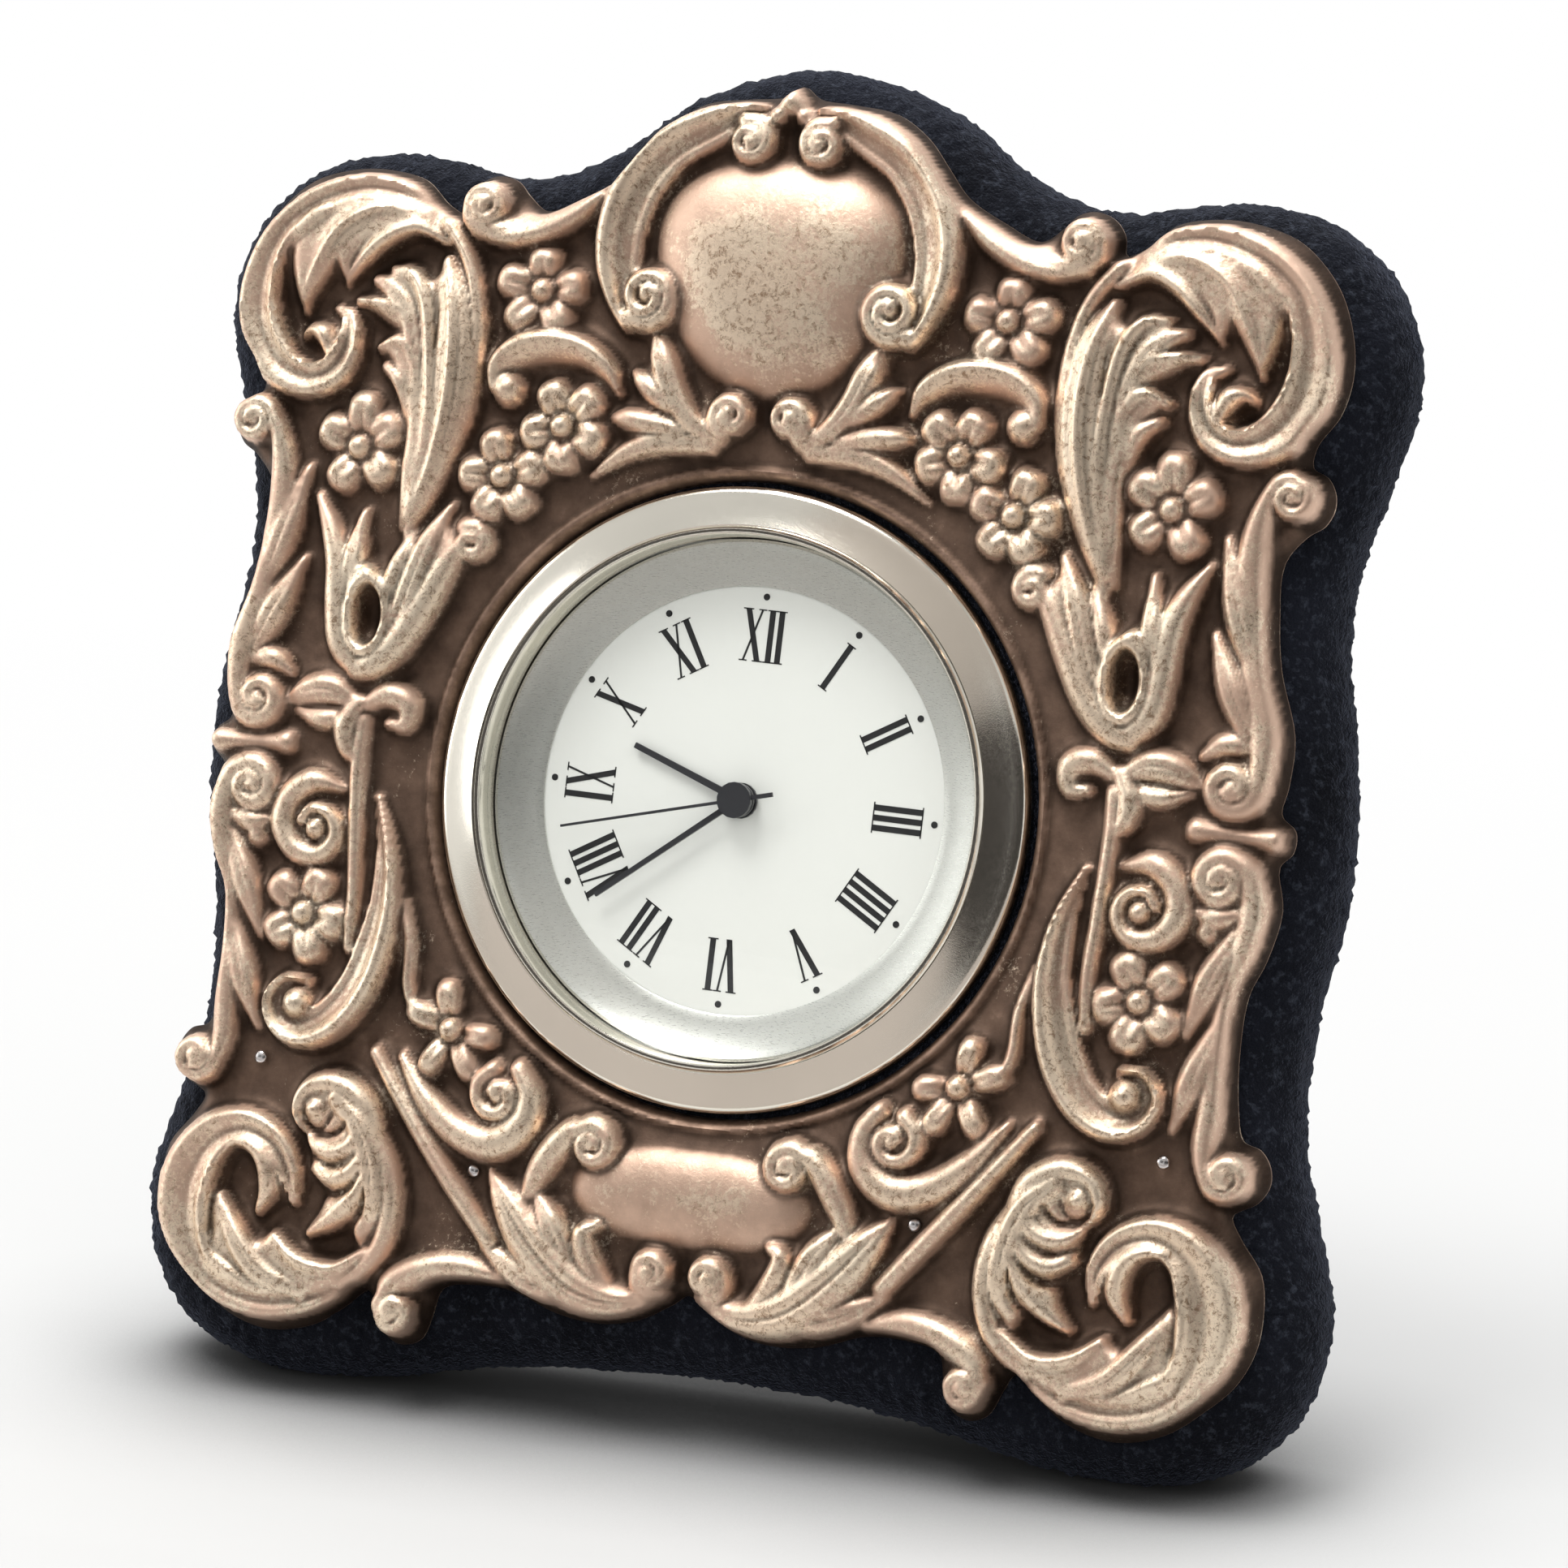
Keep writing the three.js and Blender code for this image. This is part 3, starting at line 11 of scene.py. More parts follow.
import bmesh
import bpy
import numpy as np
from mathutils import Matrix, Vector
from mathutils.geometry import tessellate_polygon

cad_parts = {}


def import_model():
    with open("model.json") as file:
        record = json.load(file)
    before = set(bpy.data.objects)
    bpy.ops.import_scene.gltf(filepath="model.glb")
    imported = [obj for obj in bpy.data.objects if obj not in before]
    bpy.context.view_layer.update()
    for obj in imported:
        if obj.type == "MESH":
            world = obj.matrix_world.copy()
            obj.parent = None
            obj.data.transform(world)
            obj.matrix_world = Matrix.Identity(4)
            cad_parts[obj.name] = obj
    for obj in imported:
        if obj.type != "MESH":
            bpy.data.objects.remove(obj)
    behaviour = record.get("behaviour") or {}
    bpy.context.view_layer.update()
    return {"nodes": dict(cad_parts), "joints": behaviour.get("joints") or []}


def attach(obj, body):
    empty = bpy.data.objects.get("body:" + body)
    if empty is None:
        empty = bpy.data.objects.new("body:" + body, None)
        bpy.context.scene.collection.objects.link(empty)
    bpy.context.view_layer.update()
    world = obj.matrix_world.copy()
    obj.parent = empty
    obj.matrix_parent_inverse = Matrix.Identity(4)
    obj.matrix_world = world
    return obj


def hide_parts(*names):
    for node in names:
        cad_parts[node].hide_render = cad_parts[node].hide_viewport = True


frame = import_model()
nodes = frame["nodes"]
scene = bpy.context.scene

# The clock's own frame, from the axis that the hands turn on
MM = 0.001
axle = next(joint for joint in frame["joints"] if joint["name"] == "second_turn")
CENTRE = np.array(axle["pos_m"], float)
BACK = np.array(axle["axis"], float)
RIGHT = np.array([1.0, 0.0, 0.0])
UP = np.cross(RIGHT, BACK)

# Levels along y
SHEET_FRONT = -1.1
SHEET_BACK = -0.02
PIN_SEAT = -1.75
DIAL_FRONT = 0.9
BOARD_FRONT = 1.2
BOARD_BACK = 9.9
PANEL_FRONT = 10.2
VELVET_BACK = 12.0
LEAF_FACE = 12.9

# Frame sizes
OPENING_RADIUS = 22.8
BORE_RADIUS = 21.0
ACCESS_RADIUS = 16.5
EDGE_ROUND = 5.5
PADDING = 2.9
HEM_INSET = 5.7
PANEL_INSET = 5.73
PANEL_ROUND = 0.5
PIN_RADIUS = 0.5
BRAD_RADIUS = 0.75

# Pressed sheet: its cut edge, the bead round its opening and the swell of its ground
RELIEF_STEP = 0.25
STROKE_SPREAD = 1.2
STROKE_STEPS = 5
EDGE_SHARE = 0.3
EDGE_ROLL = 1.1
RELIEF_ROLL = 0.8
BEAD_HALF = 0.5
BEAD_RISE = 0.55
BEAD_CLEARANCE = 0.7
GROUND_SWELL = 0.45
SWELL_REACH = 5
SKIRT_SHARE = 0.72
RELAX_ROUNDS = 12

# Clock sizes
BEZEL_RADIUS = 22.4
CRYSTAL_RADIUS = 18.6
CRYSTAL_FRONT = -2.2
CRYSTAL_BACK = -1.3
DOME_RADIUS = 17.6
DOME_RISE = 0.9
DOME_MARGIN = 0.01
HOLLOW_RISE = 0.75
DIAL_SIGHT = 15.4
DIAL_TURN = -1.5
NUMERAL_RADIUS = 11.9
NUMERAL_HEIGHT = 3.8
DOT_RING = 14.7
DOT_RADIUS = 0.25
INK = 0.03


def world(points):
    """Points of the clock's own frame in the row frame."""
    p = np.asarray(points, float)
    return CENTRE + MM * (p[..., 0:1] * RIGHT + p[..., 1:2] * BACK + p[..., 2:3] * UP)


def add_piece(name, points, faces, body, slot, material, smooth_angle):
    """A piece from points in the clock's own frame, riding on a body."""
    mesh = bpy.data.meshes.new(name)
    mesh.from_pydata(world(points).tolist(), [], [list(map(int, face)) for face in faces])
    return add_mesh(name, mesh, body, material, smooth_angle)


def add_mesh(name, mesh, body, material, smooth_angle):
    """A piece from a mesh in the row frame, riding on a body."""
    mesh.validate()
    mesh.materials.clear()
    mesh.materials.append(material)
    mesh.shade_smooth()
    mesh.set_sharp_from_angle(angle=math.radians(smooth_angle))
    piece = bpy.data.objects.new(name, mesh)
    scene.collection.objects.link(piece)
    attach(piece, body)
    return piece


# Curves


def smooth_path(points, steps, closed=False):
    """A centripetal Catmull-Rom curve through points; further columns are carried along."""
    p = np.asarray(points, float)
    if closed:
        p = np.vstack([p[-1], p, p[0], p[1]])
    else:
        p = np.vstack([2 * p[0] - p[1], p, 2 * p[-1] - p[-2]])
    share = np.linspace(0, 1, steps, endpoint=False)[:, None]
    parts = []
    for a, b, c, d in zip(p, p[1:], p[2:], p[3:]):
        lengths = [max(np.linalg.norm((v - u)[:2]), 1e-6) ** 0.5 for u, v in ((a, b), (b, c), (c, d))]
        knots = np.cumsum([0, *lengths])
        t = knots[1] + share * (knots[2] - knots[1])

        def mix(u, v, i, j):
            return ((knots[j] - t) * u + (t - knots[i]) * v) / (knots[j] - knots[i])

        first = mix(mix(a, b, 0, 1), mix(b, c, 1, 2), 0, 2)
        second = mix(mix(b, c, 1, 2), mix(c, d, 2, 3), 1, 3)
        parts.append(mix(first, second, 1, 2))
    if not closed:
        parts.append(p[-2:-1])
    return np.vstack(parts)


def whole_outline(half, steps):
    """A closed outline, clockwise from the top, through a right half's points and their mirror images."""
    right = np.asarray(half, float)
    left = right[-2:0:-1] * [-1, 1]
    return smooth_path(np.vstack([right, left]), steps, closed=True)


def even_outline(half, count):
    """The same outline at even steps."""
    points = whole_outline(half, 24)
    around = np.vstack([points, points[:1]])
    run = np.concatenate([[0], np.cumsum(np.linalg.norm(np.diff(around, axis=0), axis=1))])
    at = np.linspace(0, run[-1], count, endpoint=False)
    return np.stack([np.interp(at, run, around[:, k]) for k in (0, 1)], axis=1)


def inset(points, distance):
    """A clockwise outline moved inwards along its normals."""
    along = np.roll(points, -1, axis=0) - np.roll(points, 1, axis=0)
    along /= np.linalg.norm(along, axis=1)[:, None]
    return points + distance * np.stack([along[:, 1], -along[:, 0]], axis=1)


def inside_distance(outline, x, z):
    """Distance from each point to a closed outline, positive inside."""
    shape = x.shape
    px, pz = x.ravel(), z.ravel()
    best = np.full(px.shape, 1e9)
    inside = np.zeros(px.shape, bool)
    for (ax, az), (bx, bz) in zip(outline, np.roll(outline, -1, axis=0)):
        dx, dz = bx - ax, bz - az
        t = np.clip(((px - ax) * dx + (pz - az) * dz) / max(dx * dx + dz * dz, 1e-12), 0, 1)
        best = np.minimum(best, (px - ax - t * dx) ** 2 + (pz - az - t * dz) ** 2)
        if az != bz:
            crosses = (az > pz) != (bz > pz)
            inside ^= crosses & (px < ax + (pz - az) * dx / dz)
    return np.where(inside, 1, -1).reshape(shape) * np.sqrt(best).reshape(shape)


def spiral(x, z, outer, inner, start, turns, width, height, end_width, end_height):
    """Points of a scroll that winds in from an angle in degrees; negative turns run clockwise."""
    count = max(5, int(abs(turns) * 9))
    points = []
    for k in range(count + 1):
        share = k / count
        angle = math.radians(start) + share * turns * 2 * math.pi
        radius = outer + share * (inner - outer)
        place = x + radius * math.cos(angle), z + radius * math.sin(angle)
        points.append((*place, width + share * (end_width - width), height + share * (end_height - height)))
    return points


def blurred(values, size):
    """A soft average over a number of grid steps."""
    reach = max(int(3 * size), 1)
    weights = np.exp(-0.5 * (np.arange(-reach, reach + 1) / size) ** 2)
    weights /= weights.sum()
    wide = np.pad(values, reach, mode="edge")
    for axis in (0, 1):
        wide = np.apply_along_axis(lambda line: np.convolve(line, weights, "valid"), axis, wide)
    return wide


def eased(share):
    """A quarter of a sine wave, rising from 0 to 1."""
    return np.sin(np.clip(share, 0, 1) * math.pi / 2)


# Cross sections of a stroke, for s from -1 to 1 across it


def rounded(s):
    return np.clip(1 - np.abs(s) ** 2.4, 0, 1) ** 0.55


def through(places, heights):
    """A section through given heights at places from -1 to 1."""
    return lambda s: np.interp(s, places, heights)


# a band with its ridge outside the middle and a hollow face inside
scooped = through(
    [-1, -0.93, -0.82, -0.5, -0.1, 0.2, 0.38, 0.6, 0.85, 1],
    [0, 0.5, 0.6, 0.5, 0.64, 0.9, 1, 0.93, 0.6, 0],
)
# a band with a ridge along its inner edge
gutter = through(
    [-1, -0.88, -0.7, -0.48, -0.15, 0.2, 0.55, 0.82, 1],
    [0, 0.75, 1, 0.76, 0.64, 0.76, 0.84, 0.6, 0],
)


def fluted(s):
    return rounded(s) - 0.15 * (0.5 - 0.5 * np.cos(3 * math.pi * s)) * (np.abs(s) < 0.85)


def veined(s):
    return rounded(s) - 0.16 * np.exp(-((s / 0.13) ** 2)) * (np.abs(s) < 0.6)


def crest_left(s):
    return eased(np.minimum((1 - s) / 0.55, (s + 1) / 1.45)) ** 0.8


def crest_right(s):
    return crest_left(-s)


class Relief:
    """Heights in mm above the sheet, over the right half of the front."""

    def __init__(self, step, width, low, high):
        self.x, self.z = np.meshgrid(np.arange(0, width + step, step), np.arange(low, high + step, step))
        self.step, self.low = step, low
        self.height = np.zeros_like(self.x)

    def window(self, x0, x1, z0, z1):
        columns = slice(max(int(x0 / self.step) - 1, 0), max(int(x1 / self.step) + 2, 0))
        first, last = (z0 - self.low) / self.step, (z1 - self.low) / self.step
        return slice(max(int(first) - 1, 0), max(int(last) + 2, 0)), columns

    def around(self, x, z, reach):
        return self.window(x - reach, x + reach, z - reach, z + reach)

    def lift(self, where, height):
        self.height[where] = np.maximum(self.height[where], height)

    def carve(self, where, depth):
        self.height[where] = np.maximum(self.height[where] - depth, 0)

    def beside(self, path, steps):
        """The window round a path, with each point's signed share of the half width, and the height."""
        line = smooth_path(path, steps)
        line[:, 2] = np.maximum(line[:, 2] * STROKE_SPREAD, 0.12)
        reach = line[:, 2].max()
        (x0, z0), (x1, z1) = line[:, :2].min(axis=0) - reach, line[:, :2].max(axis=0) + reach
        where = self.window(x0, x1, z0, z1)
        x, z = self.x[where], self.z[where]
        best = np.full(x.shape, 9.0)
        side = np.zeros(x.shape)
        rise = np.zeros(x.shape)
        for a, b in zip(line, line[1:]):
            dx, dz = b[0] - a[0], b[1] - a[1]
            t = np.clip(((x - a[0]) * dx + (z - a[1]) * dz) / max(dx * dx + dz * dz, 1e-12), 0, 1)
            ox, oz = x - a[0] - t * dx, z - a[1] - t * dz
            share = np.hypot(ox, oz) / (a[2] + t * (b[2] - a[2]))
            nearer = share < best
            best = np.where(nearer, share, best)
            side = np.where(nearer, np.sign(dx * oz - dz * ox), side)
            rise = np.where(nearer, a[3] + t * (b[3] - a[3]), rise)
        return where, best * side, np.where(best < 1, rise, 0)

    def stroke(self, path, section=rounded, steps=STROKE_STEPS):
        """A stroke through points of (x, z, half width, height)."""
        where, share, rise = self.beside(path, steps)
        self.lift(where, rise * section(np.clip(share, -1, 1)))

    def groove(self, *path):
        """A groove through points of (x, z, half width, depth)."""
        where, share, depth = self.beside(path, STROKE_STEPS)
        self.carve(where, depth * np.cos(np.clip(share, -1, 1) * math.pi / 2) ** 2)

    def ball(self, x, z, radius, height):
        """A dome."""
        where = self.around(x, z, radius)
        away = np.hypot(self.x[where] - x, self.z[where] - z) / radius
        self.lift(where, height * np.clip(1 - away**2, 0, 1) ** 0.5)

    def dip(self, x, z, radius, depth):
        """A soft hollow."""
        where = self.around(x, z, 2 * radius)
        away = np.hypot(self.x[where] - x, self.z[where] - z)
        self.carve(where, depth * np.exp(-((away / radius) ** 2)))

    def petal(self, x, z, px, pz, width, height):
        """A round lobe from beside a flower's middle out past its own place, creased towards the middle."""
        reach = math.hypot(px - x, pz - z)
        ux, uz = (px - x) / reach, (pz - z) / reach
        near, far = 0.5, reach + 1.2
        half = (far - near) / 2
        where = self.around(px, pz, 2 * half)
        dx, dz = self.x[where] - x, self.z[where] - z
        along = (dx * ux + dz * uz - near - half) / half
        aside = (dz * ux - dx * uz) / (width * (1 + 0.16 * np.clip(along, -1, 1)))
        away = (np.abs(along) ** 2.3 + np.abs(aside) ** 2.3) ** (1 / 2.3)
        lobe = np.clip(1 - away**2.8, 0, 1) ** 0.55 * (0.9 + 0.1 * along)
        crease = 0.22 * np.exp(-((aside / 0.22) ** 2)) * np.clip(0.7 - along, 0, 1)
        self.lift(where, height * np.where(away < 1, lobe * (1 - crease), 0))

    def flower(self, x, z, petals, width, height):
        """Petals at their own places round a raised middle with a dimple."""
        for px, pz in petals:
            self.petal(x, z, px, pz, width, height)
        self.dip(x, z, 0.85, 0.9)
        self.ball(x, z, 1.02, height * 1.15)
        self.dip(x, z, 0.28, 0.35)

    def dome(self, half, edge, height, swell):
        """A cartouche: a rounded edge and a swelling face."""
        outline = whole_outline(half, 8)
        deep = np.clip(blurred(inside_distance(outline, self.x, self.z), 5), 0, None)
        brim = np.sqrt(np.clip(1 - (1 - np.clip(deep / edge, 0, 1)) ** 2, 0, 1))
        self.lift(..., height * brim + swell * (1 - np.exp(-deep / 4)) * (deep > 0))

    def mass(self, outline, edge, height):
        """A raised patch with a rounded edge."""
        line = smooth_path(outline, 4, closed=True)
        where = self.window(line[:, 0].min(), line[:, 0].max(), line[:, 1].min(), line[:, 1].max())
        deep = np.clip(inside_distance(line, self.x[where], self.z[where]) / edge, 0, 1)
        self.lift(where, height * np.sqrt(1 - (1 - deep) ** 2))


# The ornament's right half, as (x, z) from the dial's centre

SILVER_HALF = [
    (0, 51.2), (1.3, 50.4), (4, 50.1), (7.3, 49.6), (9.8, 48), (11.5, 46), (13.2, 44), (16, 42.4),
    (19, 41.2), (20.5, 42.2), (21.5, 43.2), (22.9, 43.55), (24.3, 43), (25.1, 41.9), (25.3, 40.6),
    (26.8, 41.2), (28.8, 42.9), (31.6, 43.5), (34.4, 43.4), (37.5, 42.5), (39.5, 41), (41.2, 38.8),
    (42.3, 35.7), (42.5, 33), (41.9, 30.5), (40.4, 28.2), (40.3, 26.75), (41.4, 26.15), (42.05, 25.1),
    (42.1, 23.9), (41.5, 22.75), (40.4, 22), (38.9, 20), (38.9, 16), (39.4, 12.5), (40.8, 8),
    (40.7, 4.6), (40.4, 2.6), (41.5, 1.6), (41.5, 0.1), (40.6, -1), (41.1, -4), (40.3, -7.6),
    (39.3, -10), (39, -13.7), (39.3, -18), (39.9, -20.1), (41.2, -20.6), (42, -21.7), (42.1, -23),
    (41.3, -24.3), (40.1, -24.95), (39.6, -25.4), (40.4, -26.9), (42.1, -29.2), (42.5, -32),
    (42.2, -34.5), (41, -37), (39, -39), (36.5, -40.9), (34, -41.8), (31.8, -41.9), (29, -41.1),
    (26.8, -39.6), (25, -38.2), (24.2, -39.4), (23.3, -41.2), (22, -41.8), (20.5, -41.2), (19.8, -39.4),
    (19.2, -37.4), (16.5, -36.8), (13.6, -36.9), (10, -38.1), (6.4, -38.4), (3.7, -37.8), (1.2, -36.4),
    (0, -35.6),
]
BOARD_HALF = [
    (0, 53.1), (5, 52.3), (10.5, 50), (15, 46.7), (19.5, 44.6), (24, 44), (28.5, 44.8), (33.5, 45.2),
    (38.5, 44.1), (42.4, 41.3), (44.9, 37), (45.5, 32.5), (44.3, 27), (42.6, 21), (42.1, 15),
    (43.2, 8.5), (43.9, 2.5), (43.7, -4), (42.6, -10), (42.1, -16), (42.6, -21.5), (44.3, -27),
    (45.5, -32.5), (44.5, -38.2), (41.2, -42.5), (35.8, -45), (30, -45.3), (25, -44.8), (19, -43.5),
    (12, -42.5), (0, -41.9),
]
UPPER_CARTOUCHE = [
    (0, 45.7), (3.5, 45.5), (6.8, 44.5), (8.9, 42.7), (9.7, 40.2), (9.5, 37.4), (8.3, 34.4),
    (6.5, 31.4), (3.4, 29.2), (0, 28.4),
]
LOWER_CARTOUCHE = [
    (0, -25), (4.6, -25.2), (8.4, -26.4), (9.8, -28.4), (8.6, -30.6), (5, -32), (0, -32.3),
]
BELL_OUTLINE = [
    (22.3, 16.4), (23.6, 18.2), (24.9, 16.4), (26.2, 16.8), (27.4, 14.6), (29.2, 14.4), (30.3, 17.6),
    (31.6, 16.2), (33.6, 18), (33.1, 14), (32.6, 10), (31.2, 7.2), (29.2, 6), (27.2, 6.8), (25.6, 9.6),
    (23.8, 13),
]

DROOPING_LEAF = [
    (26.2, 39), (28.3, 40.9), (31.5, 41.5), (34.5, 41.1), (36.8, 39.5), (38.1, 37.2), (37.8, 34.8),
    (36.7, 32.7), (35.8, 34.9), (34.7, 36.4), (33.5, 35), (32.3, 36.7), (30.8, 37.9), (28.6, 38.5),
]
PLUME_LEAF = [
    (26.5, 17.5), (24, 23), (23, 28), (22.9, 32), (23.8, 35.6), (25.5, 37.3), (26.5, 35.8),
    (27.6, 36.5), (29.7, 36.3), (30.3, 35.2), (29.2, 34.2), (30.8, 34.1), (32.8, 33.7), (30.6, 32.5),
    (28.8, 31.2), (30.1, 30.4), (28.9, 28.8), (27.9, 25.8), (27.4, 21.5), (27.2, 17.5),
]
COMMA_LEAF = [
    (24.6, -25.2), (27.2, -23), (29.6, -22.7), (31, -24), (30.7, -26.2), (29.9, -27.2), (29.7, -28.6),
    (29.3, -30), (28.2, -30.8), (28.6, -32.6), (29.6, -34.4), (28, -34.3), (26.4, -33.2), (25.4, -34.8),
    (24.2, -34.2), (23, -31.5), (23.2, -28),
]
SCROLL_LEAF = [
    (24, -35), (26.5, -35.9), (29.5, -35.7), (32, -34.3), (32.9, -35), (34.2, -34.9), (35.6, -33.2),
    (36.6, -31.8), (37.4, -33.2), (37.3, -35.6), (38.3, -36), (37.8, -38), (35, -39.6), (31, -39.8),
    (27, -38.6), (24.8, -36.9),
]


def draw_cartouches(relief):
    relief.dome(UPPER_CARTOUCHE, 5.5, 1.9, 0.7)
    relief.dome(LOWER_CARTOUCHE, 2.9, 1.1, 0.8)
    # scroll round the upper cartouche
    rim = [
        (2.4, 49.2, 0.55, 1.6), (3.9, 48.9, 0.95, 2), (6, 47.9, 1.4, 2.3), (8.85, 46.3, 1.6, 2.5),
        (11, 43.8, 1.75, 2.6), (12.1, 40.8, 1.75, 2.6), (12.2, 37.9, 1.6, 2.6), (11.6, 35.4, 1.2, 2.5),
        (10.7, 33.6, 0.9, 2.3),
    ]
    relief.stroke(rim, scooped)
    relief.stroke(spiral(9.3, 35.3, 2.05, 0.6, -50, -1.65, 0.75, 2.4, 0.48, 2.8), rounded, 4)
    relief.ball(9.35, 35.4, 0.75, 2.9)
    relief.stroke(spiral(2.75, 46.9, 1.55, 0.45, 70, 1.5, 0.65, 2.1, 0.42, 2.4))
    relief.ball(2.75, 46.9, 0.65, 2.5)
    # finial
    relief.ball(0, 50, 1.3, 1.9)
    relief.ball(1, 48.9, 0.8, 1.7)
    # bracket of the lower cartouche
    bracket = spiral(7.5, -25.6, 1.6, 0.4, 40, 1.4, 0.85, 2.1, 0.45, 2.3)
    relief.stroke([
        (12.4, -30, 0.5, 1.4), (11.6, -28, 1, 1.9), (10.4, -26, 1.1, 2.1), (9.2, -24.7, 0.95, 2.1),
        *bracket,
    ])
    relief.ball(7.5, -25.6, 0.6, 2.4)


def draw_arm(relief):
    relief.stroke([
        (13.8, 43.4, 0.9, 1.6), (15.8, 41.6, 1.3, 1.9), (18.4, 40.2, 1.45, 2), (21, 39.4, 1.15, 2),
        (23.4, 39.4, 0.7, 1.8),
    ], crest_right)
    relief.stroke([
        (20.2, 39.6, 0.8, 1.8), *spiral(22.8, 41.1, 1.6, 0.5, -70, 1.55, 0.64, 2.1, 0.42, 2.4),
    ])
    relief.ball(22.8, 41.1, 0.75, 2.5)


FLOWERS = [
    ((17.8, 35.3), [(17.95, 37.4), (20.5, 35.9), (19.6, 33.2), (16.5, 33.2), (15.5, 35.7)], 1.42, 2),
    ((15.2, 25.6), [(13.3, 27.6), (16.2, 27.9), (17.5, 25), (15.2, 23.2), (12.9, 24.8)], 1.5, 2.3),
    ((19.6, 21.7), [(20.4, 24.1), (22.1, 21.7), (20.7, 19.4), (18.1, 19.8), (17.3, 22.5)], 1.45, 2.2),
    ((31.1, 23), [(28.8, 24.5), (31, 26.1), (33.5, 24.1), (32.4, 20.7), (29.2, 21.3)], 1.5, 2),
    ((32.1, -11.2), [(31, -8.8), (34.1, -9.4), (34.1, -12.7), (31.4, -13.9), (29.7, -11.7)], 1.5, 2),
    ((19.5, -18.5), [(17, -18.8), (18, -21.1), (20.9, -21), (22.2, -17.5), (20.1, -15.9)], 1.05, 2.1),
]


def draw_flowers(relief):
    for middle, petals, width, height in FLOWERS:
        relief.flower(*middle, petals, width, height)


def draw_upper_leaves(relief):
    # spray under the upper cartouche
    relief.stroke(spiral(2.2, 27.2, 1.45, 0.4, -60, 1.4, 0.7, 2, 0.45, 2.3))
    relief.ball(2.2, 27.2, 0.6, 2.4)
    relief.stroke([
        (3, 25.5, 0.5, 1.6), (5.1, 26.5, 0.85, 2), (6.8, 28.6, 1, 2.2), (7.8, 30.8, 1.05, 2.2),
        (8.3, 32.1, 0.7, 1.7),
    ], veined)
    relief.stroke([
        (5.8, 26.9, 0.45, 1.6), (7.9, 28.2, 0.85, 2.1), (9.3, 29.3, 0.7, 2), (10.2, 30, 0.2, 1.3),
    ])
    relief.stroke([
        (5.8, 25.9, 0.45, 1.6), (8.4, 26.3, 0.9, 2.1), (10.4, 26.5, 0.75, 2), (11.5, 26.5, 0.25, 1.4),
    ])
    relief.stroke([
        (3.8, 25.1, 0.7, 1.5), (7.4, 25, 0.85, 1.8), (10.2, 24.1, 0.7, 1.6), (12.9, 22.2, 0.2, 1),
    ], veined)
    # arched leaf over the cluster
    relief.stroke([
        (11.3, 28.3, 0.35, 1.3), (12.3, 29.9, 0.95, 1.9), (14.2, 31, 1.2, 2.2), (16.6, 31.3, 1.3, 2.3),
        (18.9, 30.8, 1.3, 2.3), (20.3, 29.6, 1.15, 2.2), (20.6, 28.2, 0.7, 2),
    ], crest_left)
    relief.ball(19.7, 28, 1.45, 2.3)


def draw_plume(relief):
    relief.mass(PLUME_LEAF, 1, 1.8)
    relief.stroke([
        (26.4, 17, 0.25, 1), (24.2, 22, 0.55, 1.5), (22.9, 26, 0.6, 1.7), (22.45, 30, 0.6, 1.8),
        (22.8, 34, 0.6, 1.8), (23.9, 37.3, 0.6, 1.8), (25.8, 39.8, 0.6, 1.8),
    ])
    relief.stroke([
        (26.9, 16.7, 0.25, 1.3), (26, 19.2, 0.7, 1.9), (25, 22.3, 1.05, 2.3), (24.3, 25.5, 1.35, 2.6),
        (24, 28.5, 1.5, 2.8), (24.1, 31.5, 1.45, 2.8), (24.6, 34.5, 1.15, 2.5), (25.5, 36.9, 0.5, 1.8),
    ], fluted)
    relief.stroke([
        (26.7, 19, 0.3, 1.4), (26.2, 22, 0.55, 1.9), (25.95, 25.5, 0.7, 2.2), (26.05, 28.5, 0.8, 2.4),
        (26.4, 31.5, 0.9, 2.5), (27, 34, 0.9, 2.5), (28.1, 35.6, 0.8, 2.3), (29.7, 36, 0.4, 1.7),
    ], crest_left)
    relief.stroke([
        (26.7, 27.6, 0.6, 2), (27.3, 31, 0.85, 2.2), (28.4, 33.6, 0.95, 2.2), (30, 34.9, 0.7, 2),
        (30.9, 35.2, 0.45, 1.7),
    ], veined)
    relief.stroke([
        (27, 30.2, 0.45, 1.7), (28.3, 32.5, 0.65, 2.1), (30.3, 33.3, 0.7, 2.1), (32.2, 33.5, 0.45, 1.7),
    ], crest_left)
    relief.stroke([
        (26.9, 26.2, 0.45, 1.6), (27.3, 29, 0.75, 2.1), (28.5, 30.6, 0.8, 2.2), (30, 30.2, 0.5, 1.8),
    ], crest_left)
    relief.stroke([(27.5, 25.4, 0.35, 1.3), (28.3, 28, 0.65, 2), (29.6, 29, 0.42, 1.6)])
    relief.stroke([(27.3, 17.4, 0.25, 1.1), (27.1, 21, 0.5, 1.7), (27, 24.6, 0.45, 1.7)])


